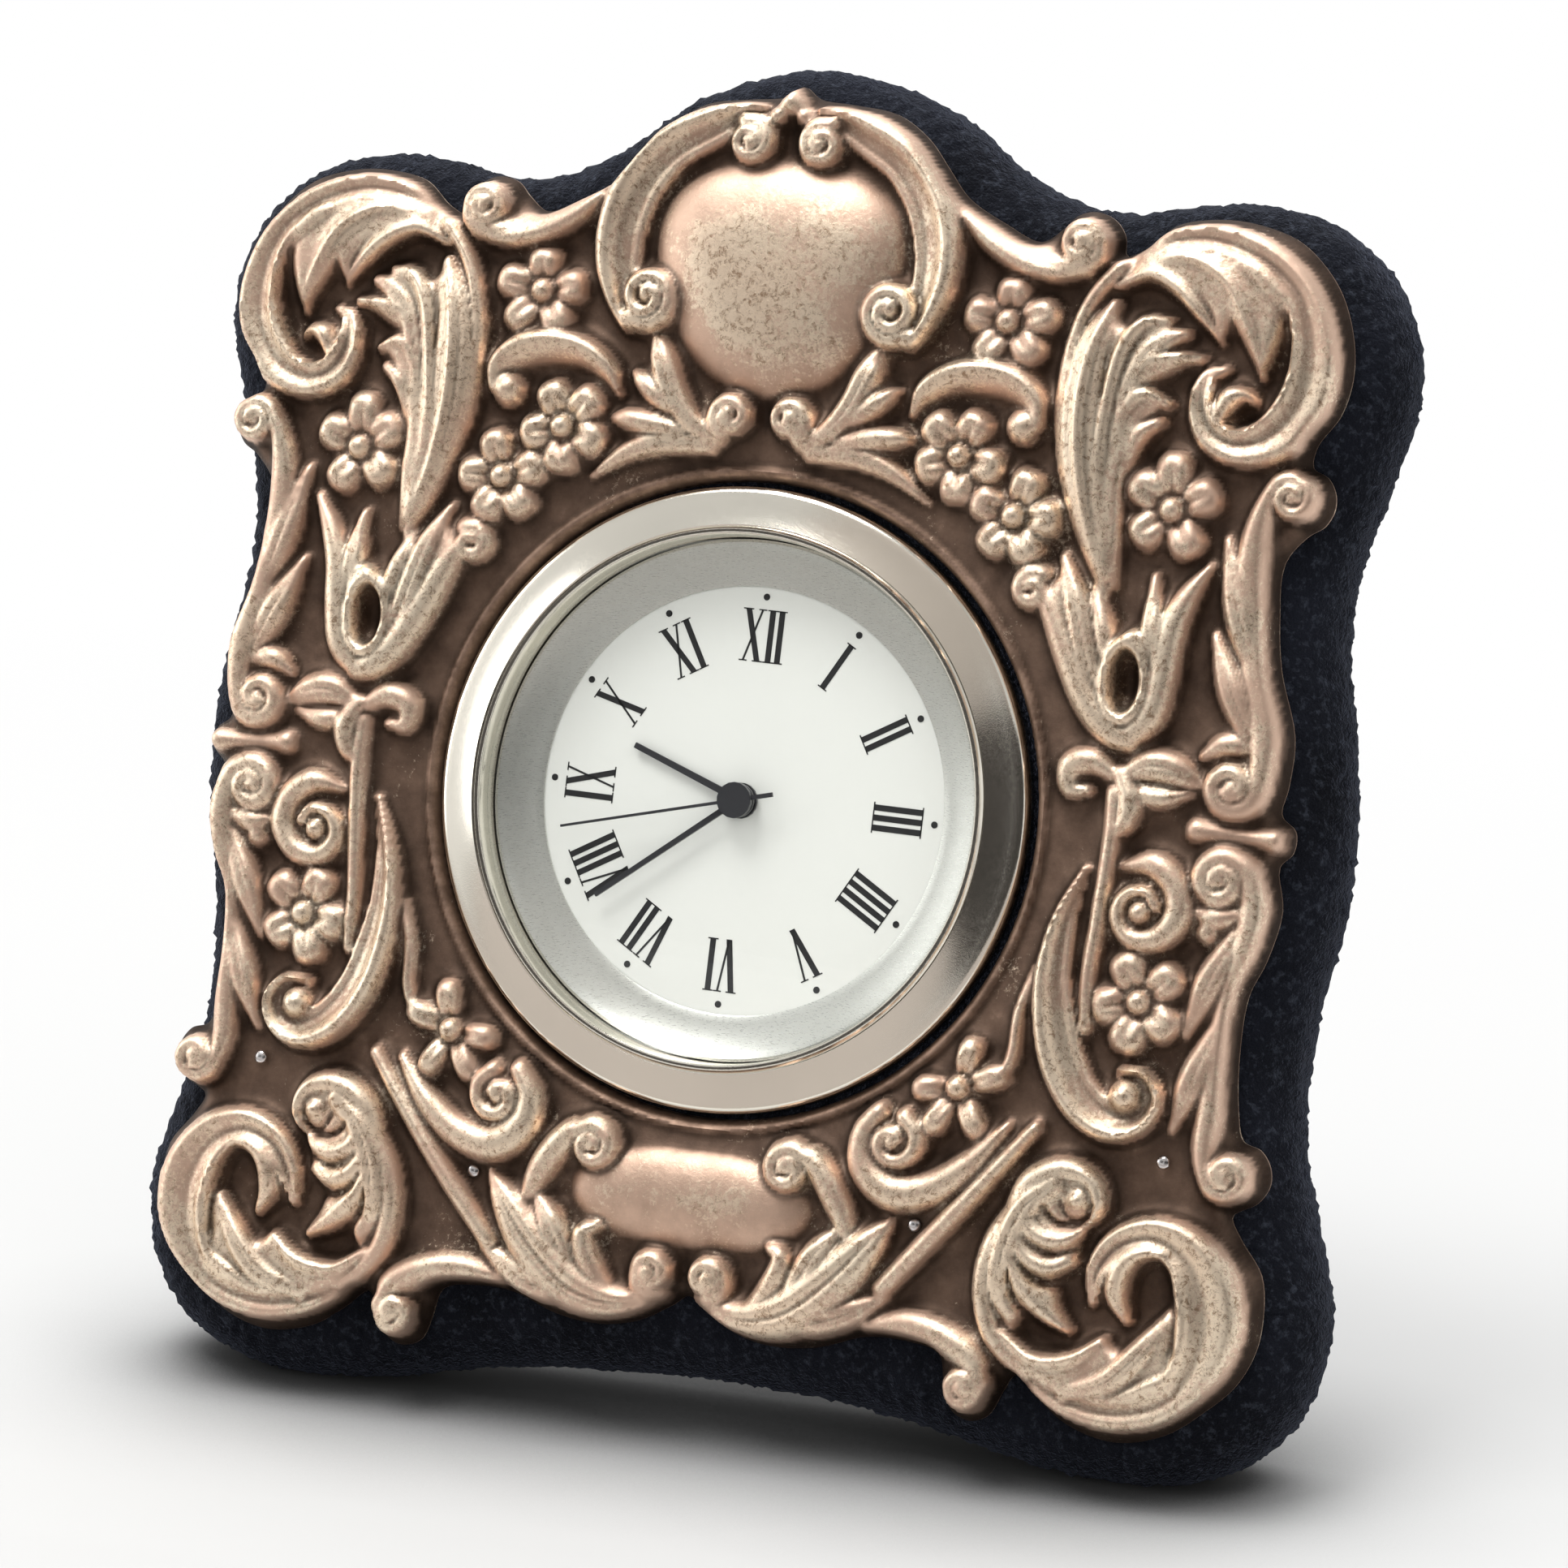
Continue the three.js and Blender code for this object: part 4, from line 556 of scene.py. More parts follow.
def draw_upper_corner(relief):
    outer = [
        (25.8, 39.4, 0.5, 1.5), (28.3, 41.4, 0.75, 1.8), (32, 42.1, 1, 2), (35.7, 41.1, 1.15, 2.1),
        (38.7, 38.9, 1.15, 2.2), (40.2, 35.5, 1.5, 2.4), (40.3, 32, 1.8, 2.5), (39.1, 29.5, 1.75, 2.5),
        (37.3, 28, 1.5, 2.5), (35.3, 27.6, 1.25, 2.5), (33.6, 28.3, 1.15, 2.5), (32.7, 29.7, 1, 2.4),
        (32.5, 31.3, 0.8, 2.3), (32.9, 32.5, 0.5, 1.9), (34, 33, 0.3, 1.4),
    ]
    relief.stroke(outer, gutter)
    relief.stroke([
        (34.1, 29.9, 0.6, 2), (34.6, 31, 0.8, 2.2), (35.7, 31.3, 0.5, 1.8), (36.4, 30.8, 0.3, 1.4),
    ])
    # leaf that droops into the corner
    relief.mass(DROOPING_LEAF, 1, 1.9)
    relief.stroke([
        (25.6, 38.4, 0.4, 1.5), (28, 39.6, 0.85, 2.1), (30.3, 38.8, 1, 2.3), (32, 37.1, 0.8, 2.2),
        (33.5, 34.9, 0.2, 1.3),
    ], crest_right)
    relief.stroke([
        (27.5, 40.3, 0.5, 1.7), (31, 40.5, 0.95, 2.3), (33.8, 39, 1.2, 2.5), (35.4, 36.4, 1, 2.4),
        (36.3, 34.2, 0.6, 2), (36.7, 32.5, 0.2, 1.3),
    ], fluted)
    relief.stroke([
        (33.6, 40.7, 0.4, 1.9), (36, 39.7, 0.7, 2.3), (37.6, 38, 0.55, 2.1), (38.2, 36.6, 0.2, 1.3),
    ], veined)


def draw_side(relief):
    # scroll above the bar
    top = spiral(39.7, 24.4, 1.62, 0.5, 170, -1.45, 0.64, 1.9, 0.42, 2.2)
    relief.stroke([(37.8, 15.6, 1.2, 1.5), (37.2, 18.8, 1.15, 1.7), (37.3, 22, 0.95, 1.8), *top])
    relief.ball(39.7, 24.4, 0.7, 2.1)
    low = spiral(37.3, 4.2, 1.8, 0.5, 0, -1.35, 0.9, 1.8, 0.5, 2.1)
    relief.stroke([
        (37.8, 15.6, 1.2, 1.5), (38.4, 11.8, 1.3, 1.7), (39.3, 8, 1.2, 1.8), (39.3, 5.6, 1, 1.8), *low,
    ])
    relief.ball(37.3, 4.2, 0.75, 2.1)
    relief.stroke([(38, 12.2, 0.7, 1.4), (36.6, 16.4, 1.15, 1.9), (35.2, 21.3, 0.3, 1)], veined)
    relief.stroke([(38.4, 7.4, 0.7, 1.4), (36.7, 10.8, 1.15, 1.9), (34.9, 14.6, 0.3, 1)], veined)
    relief.stroke([(38.2, 7, 0.6, 1.3), (36.5, 7.1, 0.85, 1.7), (35, 6.2, 0.4, 1.2)])
    # bar
    relief.stroke([
        (35, 1.05, 0.85, 1.3), (36.2, 1, 0.65, 1.1), (38, 0.9, 0.55, 1), (39.6, 0.85, 0.65, 1.1),
        (40.6, 0.8, 0.85, 1.3),
    ])
    # scroll below the bar
    top = spiral(37.2, -2.3, 1.75, 0.5, 50, 1.4, 0.9, 1.8, 0.5, 2.1)
    relief.stroke([
        (38.8, -10, 1.2, 1.5), (39.6, -6.4, 1.25, 1.8), (39.7, -3.6, 1.15, 1.8), (39, -1.5, 0.95, 1.8),
        *top,
    ])
    relief.ball(37.2, -2.3, 0.75, 2.1)
    low = spiral(39.6, -22.5, 1.62, 0.6, 185, 1.25, 0.64, 1.9, 0.48, 2.2)
    relief.stroke([
        (38.8, -10, 1.2, 1.5), (38.2, -14, 1.1, 1.6), (37.9, -18, 0.95, 1.7), (37.7, -20.8, 0.9, 1.8),
        *low,
    ])
    relief.ball(39.6, -22.4, 1.1, 2.2)
    relief.stroke([(38.6, -4.5, 0.5, 1.4), (37, -4.9, 0.85, 1.7), (35.5, -4.6, 0.4, 1.2)])
    relief.ball(36.5, -5.9, 1, 1.5)
    relief.stroke([(38.6, -6, 0.7, 1.4), (37, -9.4, 1.1, 1.9), (35.6, -13.2, 0.3, 1)], veined)
    relief.stroke([(37.8, -12.6, 0.7, 1.4), (36.5, -16.2, 1.1, 1.9), (35.2, -19.8, 0.3, 1)], veined)


def draw_bellflower(relief):
    relief.mass(BELL_OUTLINE, 1.3, 1.7)
    relief.stroke([
        (21.4, 17.4, 0.6, 1.5), (22.9, 15.7, 0.95, 1.9), (24.7, 12.2, 1.15, 2.2), (26.6, 9, 1.2, 2.3),
        (28.4, 7.3, 1.1, 2.2), (29.6, 6.9, 0.9, 2),
    ])
    relief.stroke([
        (29.4, 6.9, 0.9, 2), (31, 8.6, 1.1, 2.2), (31.6, 11.4, 1.1, 2.2), (31.9, 14.4, 1.05, 2.1),
        (32.8, 17, 0.85, 1.8), (34.2, 19.3, 0.3, 1.1),
    ])
    relief.stroke([
        (26.9, 10, 0.9, 2.1), (25.8, 13.2, 1.05, 2.3), (24.7, 16.6, 0.9, 2.1), (23.5, 19.2, 0.35, 1.2),
    ], veined)
    relief.stroke([(27.7, 12, 0.8, 2), (27, 14.6, 0.85, 2.1), (26.1, 17.2, 0.35, 1.2)])
    relief.stroke([(30.7, 11, 0.8, 2), (30.6, 14.6, 0.9, 2.2), (30.3, 18.3, 0.35, 1.2)], veined)
    turn = np.linspace(2, 2 + 1.9 * math.pi, 14)
    eye = [(29 + 1.35 * math.cos(a), 10.9 + 2.6 * math.sin(a), 0.55, 2.6) for a in turn]
    relief.stroke(eye)
    relief.stroke([(28.4, 13.3, 0.5, 2.6), (29.4, 14, 0.55, 2.5), (30.1, 13.2, 0.35, 2)])
    for z, radius, depth in ((10.8, 0.95, 2.6), (12, 0.75, 1.8), (9.6, 0.75, 1.8)):
        relief.dip(29, z, radius, depth)
    relief.stroke(spiral(21.5, 16.7, 1.25, 0.4, 60, 1.2, 0.75, 1.7, 0.5, 2))
    # bow leaves and the long stem
    relief.stroke([
        (29.5, 4.4, 0.6, 1.4), (31.4, 5.2, 1.15, 1.8), (33.3, 5, 1.05, 1.7), (35.1, 4.1, 0.3, 1),
    ], veined)
    relief.stroke([(30, 3.5, 0.5, 1.2), (32, 3, 0.8, 1.6), (34.3, 3.5, 0.3, 1)])
    relief.stroke([
        (28.6, 4.4, 0.6, 1.4), (27, 5.2, 0.95, 1.7), (25.4, 4.6, 0.95, 1.7), (25.5, 3.1, 0.65, 1.5),
        (26.9, 3.1, 0.4, 1.3),
    ])
    relief.stroke([
        (29.2, 4.5, 0.6, 1.6), (30.1, 2.6, 0.95, 1.9), (29.7, 0.8, 0.65, 1.7), (28.6, 0.6, 0.35, 1.3),
    ])
    relief.stroke([
        (28.8, 3.2, 0.6, 1.4), (28.9, 0, 0.62, 1.6), (28.5, -6, 0.62, 1.6), (28.2, -10, 0.6, 1.6),
        (28.3, -13.4, 0.45, 1.4),
    ])


def draw_lower_side(relief):
    # spiral beside the stem
    relief.stroke([
        (30, -1.9, 0.35, 1.1), (32.3, -1.6, 0.95, 1.8), (34, -3, 1.05, 1.9), (34.3, -5, 1.05, 2),
        (33, -6.7, 0.95, 2), (31, -6.8, 0.75, 1.9), (30, -5.4, 0.65, 1.9), (30.5, -3.9, 0.55, 2),
        (32, -3.5, 0.45, 2.1), (32.8, -4.5, 0.4, 2.1),
    ])
    relief.ball(31.6, -5, 1, 2.3)
    # long scroll that hugs the opening
    long_scroll = [
        (27.2, -2.4, 0.3, 1.1), (26, -6, 0.8, 2), (25.6, -9.5, 1.15, 2.4), (26, -13, 1.4, 2.6),
        (27.1, -16.3, 1.5, 2.6), (29.1, -18.9, 1.45, 2.6), (31.4, -19.9, 1.2, 2.5),
        (33.2, -19.3, 0.9, 2.3), (33.9, -17.7, 0.7, 2.2), (33, -16.3, 0.55, 2.1),
        (31.4, -16.2, 0.45, 2),
    ]
    relief.stroke(long_scroll, lambda s: scooped(-s))
    relief.ball(31.8, -17.8, 1.35, 2.5)
    relief.stroke([
        (24.2, -9.6, 0.3, 1.1), (23.4, -13, 0.5, 1.5), (23.2, -16, 0.5, 1.5), (22.2, -18, 0.4, 1.4),
    ])
    # low spiral and the slanting stem
    relief.stroke([
        (23.3, -20.8, 0.35, 1.1), (20.8, -23.8, 0.95, 1.8), (18.1, -25.8, 1.2, 2),
        (15.3, -26.3, 1.3, 2.2), (13.2, -24.8, 1.2, 2.2), (12.8, -22.6, 0.95, 2.1),
        (13.8, -20.8, 0.8, 2),
    ])
    relief.stroke(spiral(15.2, -22.8, 1.9, 0.5, 70, -1.1, 0.75, 2, 0.5, 2.4))
    relief.ball(15.2, -22.8, 0.75, 2.5)
    relief.stroke([
        (25.4, -20.7, 0.5, 1.3), (22.2, -24.8, 0.7, 1.7), (18.6, -29.2, 0.8, 1.8),
        (15.2, -33.2, 0.75, 1.6),
    ])


def draw_lower_corner(relief):
    relief.mass(COMMA_LEAF, 1, 1.9)
    relief.mass(SCROLL_LEAF, 1, 1.8)
    # leaf shaped like a comma
    relief.stroke([
        (24.4, -26.8, 0.7, 1.9), (25.7, -24.5, 1, 2.2), (28.1, -23.3, 0.95, 2.3),
        (30.1, -23.8, 0.7, 2.3), (30.8, -25.3, 0.55, 2.3), (30.3, -26.6, 0.42, 2.1),
        (29.2, -26.9, 0.3, 1.9),
    ])
    relief.ball(29.3, -25.3, 0.95, 2.7)
    relief.stroke([
        (24.9, -25.8, 0.6, 1.8), (23.3, -29, 0.85, 2.1), (22.8, -32.2, 0.85, 2.1),
        (23.7, -35.3, 0.8, 2), (26.2, -38, 0.6, 1.7),
    ])
    relief.stroke([
        (27.6, -24.4, 0.8, 2.5), (25.6, -26.2, 1.1, 2.7), (24.4, -29, 1.1, 2.6), (24.1, -32, 0.9, 2.4),
        (25, -34.5, 0.4, 1.5),
    ], veined)
    relief.stroke([
        (25.4, -26.2, 0.7, 2.4), (26.2, -27.7, 0.85, 2.6), (27.7, -28.3, 0.8, 2.5),
        (29.2, -27.9, 0.5, 2.1), (29.8, -27.2, 0.3, 1.6),
    ])
    relief.stroke([
        (24.9, -27.8, 0.7, 2.4), (25.9, -29.5, 0.85, 2.5), (27.5, -30.2, 0.8, 2.4),
        (29.2, -29.7, 0.35, 1.7),
    ])
    relief.stroke([
        (24.6, -29.4, 0.8, 2.4), (25.6, -31.3, 1, 2.5), (27.2, -33, 0.85, 2.3),
        (29.2, -34.4, 0.35, 1.6),
    ])
    relief.groove(
        (26.6, -25.9, 0.2, 0.5), (27.6, -26.9, 0.3, 1), (29, -27.1, 0.3, 1.1), (30.2, -26.4, 0.25, 0.8),
    )
    relief.groove((26.2, -28.7, 0.15, 0.2), (27.6, -29.3, 0.2, 0.4), (29.3, -28.8, 0.25, 0.9))
    relief.groove(
        (25.2, -29.6, 0.15, 0.3), (26, -30.8, 0.25, 0.8), (27.3, -31.3, 0.35, 1.2),
        (29, -31.2, 0.35, 1.1),
    )
    relief.groove((24.7, -30.5, 0.15, 0.4), (25, -32.2, 0.25, 0.9), (26, -33.8, 0.3, 1.1))
    relief.groove(
        (28, -25.6, 0.2, 0.7), (28.6, -26.6, 0.25, 0.9), (29.7, -26.6, 0.25, 0.9),
        (30.4, -25.5, 0.2, 0.6),
    )
    relief.ball(29.3, -25.3, 0.95, 2.7)
    # large scroll round the corner
    outer = [
        (30.7, -32.2, 0.35, 1.6), (31, -30, 0.8, 2.3), (32.4, -28, 1.1, 2.5), (35, -27.1, 1.3, 2.6),
        (37.6, -28.3, 1.8, 2.7), (39.2, -31, 2.2, 2.7), (39.4, -34.1, 2.1, 2.6),
        (38.3, -36.9, 1.6, 2.4), (36.3, -38.9, 1.3, 2.2), (32.8, -39.9, 1.15, 2.1), (29.2, -39.4, 1, 2),
        (25.8, -38.2, 0.5, 1.6),
    ]
    relief.stroke(outer, gutter)
    relief.stroke([
        (33.4, -33.3, 0.35, 1.6), (32.6, -31.5, 0.85, 2.3), (33, -29.7, 0.95, 2.6),
        (34.4, -28.6, 0.7, 2.7), (35.8, -28.4, 0.4, 2.6),
    ])
    relief.dip(35.1, -30, 1.1, 2.5)
    relief.stroke([
        (24.4, -35.4, 0.6, 1.9), (26.9, -37.1, 0.95, 2.3), (29.9, -36.7, 0.95, 2.4),
        (31.9, -35, 0.5, 2),
    ], crest_left)
    relief.stroke([
        (29.4, -38.8, 0.6, 2), (32.7, -37.5, 1.05, 2.5), (35, -35, 0.95, 2.4), (36.5, -32.3, 0.25, 1.5),
    ], veined)
    relief.stroke([(33.2, -39, 0.5, 2), (35.9, -37.6, 0.7, 2.3), (37.9, -35.8, 0.25, 1.5)], crest_left)


def draw_lower_edge(relief):
    curl = spiral(21.9, -39.3, 1.52, 0.5, 50, -1.3, 0.64, 1.9, 0.45, 2.2)
    relief.stroke([
        (14.2, -36.1, 0.6, 1.1), (17.2, -35.6, 1.1, 1.6), (20.3, -36.2, 1.15, 1.8),
        (22.4, -37.4, 1.05, 1.8), *curl,
    ])
    relief.ball(21.9, -39.3, 0.95, 2.2)
    # leaf under the lower cartouche
    relief.stroke(spiral(2.1, -34.1, 1.4, 0.4, -80, 1.4, 0.8, 2, 0.45, 2.3))
    relief.ball(2.1, -34.1, 0.65, 2.4)
    relief.stroke([
        (1.6, -35.8, 0.8, 1.5), (4.4, -36.6, 1.25, 1.9), (8, -35.9, 1.8, 2.3), (11.3, -33.3, 1.85, 2.4),
        (13.8, -30.4, 1.2, 2), (15.4, -28.4, 0.3, 1.1),
    ], veined)
    relief.stroke([(8.4, -36.6, 0.9, 1.6), (12, -35.7, 1.2, 2), (15.6, -33.7, 0.35, 1.1)], veined)
    relief.stroke([
        (6, -35.2, 0.9, 1.8), (7.3, -33.4, 0.95, 2.1), (7.6, -31.8, 0.75, 2.1), (6.7, -31.3, 0.45, 1.8),
    ])
    relief.stroke([(8.8, -34, 1, 2), (10.2, -31.4, 1.05, 2.2), (11.7, -29.4, 0.35, 1.3)], veined)
    relief.dip(4.8, -34, 1, 1)


def edge_distance(x, z):
    """Distance inwards from the sheet's outline and from its opening."""
    outer = inside_distance(whole_outline(SILVER_HALF, 5), x, z)
    return np.minimum(outer, np.hypot(x, z) - OPENING_RADIUS)


def sheet_height(body, edge, x, z):
    """The sheet's front: a rolled edge, a bead round the opening and the relief on a swelling ground."""
    outwards = np.hypot(x, z) - OPENING_RADIUS
    bead = np.clip(1 - ((outwards - BEAD_HALF) / BEAD_HALF) ** 2, 0, 1) ** 0.5
    clear = np.clip((outwards - 2 * BEAD_HALF) / BEAD_CLEARANCE, 0, 1)
    raised = np.maximum(body * eased(edge / RELIEF_ROLL) * clear, BEAD_RISE * bead)
    ground = -SHEET_FRONT * (EDGE_SHARE + (1 - EDGE_SHARE) * eased(edge / EDGE_ROLL))
    swell = GROUND_SWELL * (1 - np.exp(-np.clip(edge, 0, None) / SWELL_REACH))
    return ground + swell + raised


def silver_heights():
    """Grid, height, distance to the edge and the relief alone over the whole front."""
    relief = Relief(RELIEF_STEP, 44, -44, 53)
    for draw in (
        draw_cartouches, draw_arm, draw_flowers, draw_upper_leaves, draw_plume, draw_upper_corner,
        draw_side, draw_bellflower, draw_lower_side, draw_lower_corner, draw_lower_edge,
    ):
        draw(relief)
    x, z = relief.x, relief.z
    edge = edge_distance(x, z)
    body = np.maximum(relief.height, SKIRT_SHARE * blurred(relief.height, 2))
    height = blurred(sheet_height(body, edge, x, z), 0.6)

    def whole(values, way=1):
        return np.concatenate([way * values[:, :0:-1], values], axis=1)

    return whole(x, -1), whole(z), whole(height), whole(edge), whole(body)


def read_grid(values, x, z, corner):
    """Values of a grid at points between its nodes."""
    column, row = (x - corner[0]) / RELIEF_STEP, (z - corner[1]) / RELIEF_STEP
    i = np.clip(column.astype(int), 0, values.shape[1] - 2)
    k = np.clip(row.astype(int), 0, values.shape[0] - 2)
    u, v = column - i, row - k
    low = values[k, i] * (1 - u) + values[k, i + 1] * u
    high = values[k + 1, i] * (1 - u) + values[k + 1, i + 1] * u
    return low * (1 - v) + high * v


def sheet_cells(edge):
    """The grid points that the sheet uses, and its faces, numbered over those points."""
    kept = edge > -0.7 * RELIEF_STEP
    cell = kept[:-1, :-1] & kept[1:, :-1] & kept[:-1, 1:] & kept[1:, 1:]
    number = np.arange(edge.size).reshape(edge.shape)
    corners = [number[:-1, :-1], number[:-1, 1:], number[1:, 1:], number[1:, :-1]]
    used, quads = np.unique(np.stack([c[cell] for c in corners], axis=1), return_inverse=True)
    return used, quads.reshape(-1, 4)


def boundary_loops(quads):
    """The open edges of a patch of faces, as closed loops of point numbers."""
    starts, ends = quads.ravel(), np.roll(quads, -1, axis=1).ravel()
    forward = set(zip(starts.tolist(), ends.tolist()))
    following = {a: b for a, b in forward if (b, a) not in forward}
    loops = []
    while following:
        first, at = following.popitem()
        loop = [first]
        while at != first:
            loop.append(at)
            at = following.pop(at)
        loops.append(loop)
    return sorted(loops, key=len, reverse=True)


def relax(px, pz, quads, moving):
    """Draws points to the middle of their neighbours, so that the rows next to the edge follow it."""
    count = len(px)
    starts, ends = quads.ravel(), np.roll(quads, -1, axis=1).ravel()
    links = np.bincount(starts, minlength=count) + np.bincount(ends, minlength=count)
    for _ in range(RELAX_ROUNDS):
        for values in (px, pz):
            total = np.bincount(starts, values[ends], count) + np.bincount(ends, values[starts], count)
            values[moving] = (total / links)[moving]


def tone_wear_and_painted_shade_layers(x, z, height):
    """Toned hollows, worn heights and painted shade in the narrow creases, for the metal's colour."""
    wide, fine = blurred(height, 3.6) - height, blurred(height, 1.2) - height
    hollow = 0.2 + 0.55 * np.exp(-np.clip(height - 1.45, 0, None) / 0.55) + 0.2 * wide + 0.5 * fine
    high = np.clip((height - 1.5) / 2.4, 0, 1)
    for half in (UPPER_CARTOUCHE, LOWER_CARTOUCHE):
        inward = inside_distance(whole_outline(half, 6), x, z)
        high *= 1 - 0.5 * np.clip(inward / 1.5, 0, 1)
        high += 0.4 * np.clip((inward - 2.4) / 2, 0, 1)
    # the third layer is painted shade: it marks narrow creases, which the metal's colour darkens
    return np.clip(hollow, 0, 1), high, np.clip(0.5 + 3 * fine, 0, 1)


def silver_front():
    x, z, height, edge, body = silver_heights()
    corner = x[0, 0], z[0, 0]
    used, quads = sheet_cells(edge)
    loops = boundary_loops(quads)
    rim = np.concatenate([np.array(loop) for loop in loops])
    px, pz, out = x.ravel()[used], z.ravel()[used], height.ravel()[used]
    # the rim's points move onto the outline
    slope_z, slope_x = np.gradient(edge, RELIEF_STEP)
    length = np.maximum(np.hypot(slope_x, slope_z), 0.3)
    away = (edge / length).ravel()[used][rim]
    px[rim] -= away * (slope_x / length).ravel()[used][rim]
    pz[rim] -= away * (slope_z / length).ravel()[used][rim]
    near = edge.ravel()[used] < 4 * RELIEF_STEP
    near[rim] = False
    relax(px, pz, quads, near)
    nx, nz = px[near], pz[near]
    out[near] = sheet_height(read_grid(body, nx, nz, corner), edge_distance(nx, nz), nx, nz)
    out[rim] = -EDGE_SHARE * SHEET_FRONT
    # cut edges and a flat back
    count = len(used)
    front = np.stack([px, -out, pz], axis=1)
    back = front[rim].copy()
    back[:, 1] = SHEET_BACK
    faces = quads.tolist()
    start = count
    for loop in loops:
        size = len(loop)
        for k in range(size):
            n = (k + 1) % size
            faces.append([loop[n], loop[k], start + k, start + n])
        start += size
    outlines = [[Vector((px[i], pz[i], 0)) for i in loop] for loop in loops]
    faces += [[count + i for i in triangle] for triangle in tessellate_polygon(outlines)]
    points = np.vstack([front, back])
    piece = add_piece("silver_relief", points, faces, "frame", "silver", silver_material(), 60)
    values = np.ones((len(points), 4), np.float32)
    values[:, :3] = 0.5
    # the third channel is painted shade, darker in the narrow creases
    for k, part in enumerate(tone_wear_and_painted_shade_layers(x, z, height)):
        values[:count, k] = read_grid(part, px, pz, corner)
    layer = piece.data.attributes.new("tone_wear_painted_shade", "FLOAT_COLOR", "POINT")
    layer.data.foreach_set("color", values.ravel())
    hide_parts("silver_front")


# Materials


class Tree:
    """A node tree with short calls for the nodes used here."""

    def __init__(self, tree):
        self.tree = tree

    def node(self, kind, **settings):
        made = self.tree.nodes.new("ShaderNode" + kind)
        for key, value in settings.items():
            setattr(made, key, value)
        return made

    def put(self, value, socket):
        if isinstance(value, bpy.types.NodeSocket):
            self.tree.links.new(value, socket)
        else:
            socket.default_value = value

    def noise(self, scale, detail, roughness, distortion=0.0, stretch=None):
        texture = self.node("TexNoise")
        where = self.node("TexCoord").outputs["Object"]
        if stretch:
            mapping = self.node("Mapping")
            self.put(stretch, mapping.inputs["Scale"])
            self.put(where, mapping.inputs["Vector"])
            where = mapping.outputs["Vector"]
        self.put(where, texture.inputs["Vector"])
        settings = {"Scale": scale, "Detail": detail, "Roughness": roughness, "Distortion": distortion}
        for key, value in settings.items():
            self.put(value, texture.inputs[key])
        return texture.outputs["Fac"]

    def ramp(self, value, *stops):
        """A colour ramp; a stop is a place with a colour or a shade of grey."""
        made = self.node("ValToRGB")
        elements = made.color_ramp.elements
        while len(elements) < len(stops):
            elements.new(0.5)
        for element, (at, colour) in zip(elements, stops):
            element.position = at
            element.color = (*colour, 1) if isinstance(colour, tuple) else (colour, colour, colour, 1)
        self.put(value, made.inputs["Fac"])
        return made.outputs["Color"]

    def mix(self, first, second, share, blend="MIX"):
        made = self.node("Mix", data_type="RGBA", blend_type=blend)
        self.put(share, made.inputs[0])
        self.put(first, made.inputs[6])
        self.put(second, made.inputs[7])
        return made.outputs[2]

    def maths(self, operation, first, second):
        made = self.node("Math", operation=operation)
        self.put(first, made.inputs[0])
        self.put(second, made.inputs[1])
        return made.outputs[0]

    def spread(self, value, low, high, first, last):
        """A value from low to high brought to the range from first to last."""
        made = self.node("MapRange")
        self.put(value, made.inputs["Value"])
        settings = {"From Min": low, "From Max": high, "To Min": first, "To Max": last}
        for key, setting in settings.items():
            self.put(setting, made.inputs[key])
        return made.outputs["Result"]

    def part(self, place, axis):
        """One coordinate of a texture place."""
        parts = self.node("SeparateXYZ")
        self.put(self.node("TexCoord").outputs[place], parts.inputs[0])
        return parts.outputs[axis]

    def seen(self):
        """1 for what the lens, mirrors and glass show, 0 for what only lights other things."""
        path = self.node("LightPath")
        shown = self.maths("MAXIMUM", path.outputs["Is Camera Ray"], path.outputs["Is Glossy Ray"])
        return self.maths("MAXIMUM", shown, path.outputs["Is Transmission Ray"])

    def blend(self, share, first, second, output):
        """Makes a mix of two shader nodes the tree's result."""
        made = self.node("MixShader")
        self.put(share, made.inputs[0])
        self.put(first.outputs[0], made.inputs[1])
        self.put(second.outputs[0], made.inputs[2])
        self.put(made.outputs[0], self.tree.nodes[output].inputs["Surface"])


class Shader(Tree):
    """A material's tree, with sockets of its main shader set by name."""

    def __init__(self, name, **sockets):
        self.material = bpy.data.materials.new(name)
        self.material.use_nodes = True
        super().__init__(self.material.node_tree)
        self.main = self.tree.nodes["Principled BSDF"]
        for key, value in sockets.items():
            self.set(key.replace("_", " "), value)

    def set(self, socket, value):
        self.put(value, self.main.inputs[socket])

    def bump(self, height, strength, distance):
        made = self.node("Bump")
        self.put(strength, made.inputs["Strength"])
        self.put(distance, made.inputs["Distance"])
        self.put(height, made.inputs["Height"])
        self.set("Normal", made.outputs["Normal"])


def shaded(colour, share):
    return tuple(share * c for c in colour)


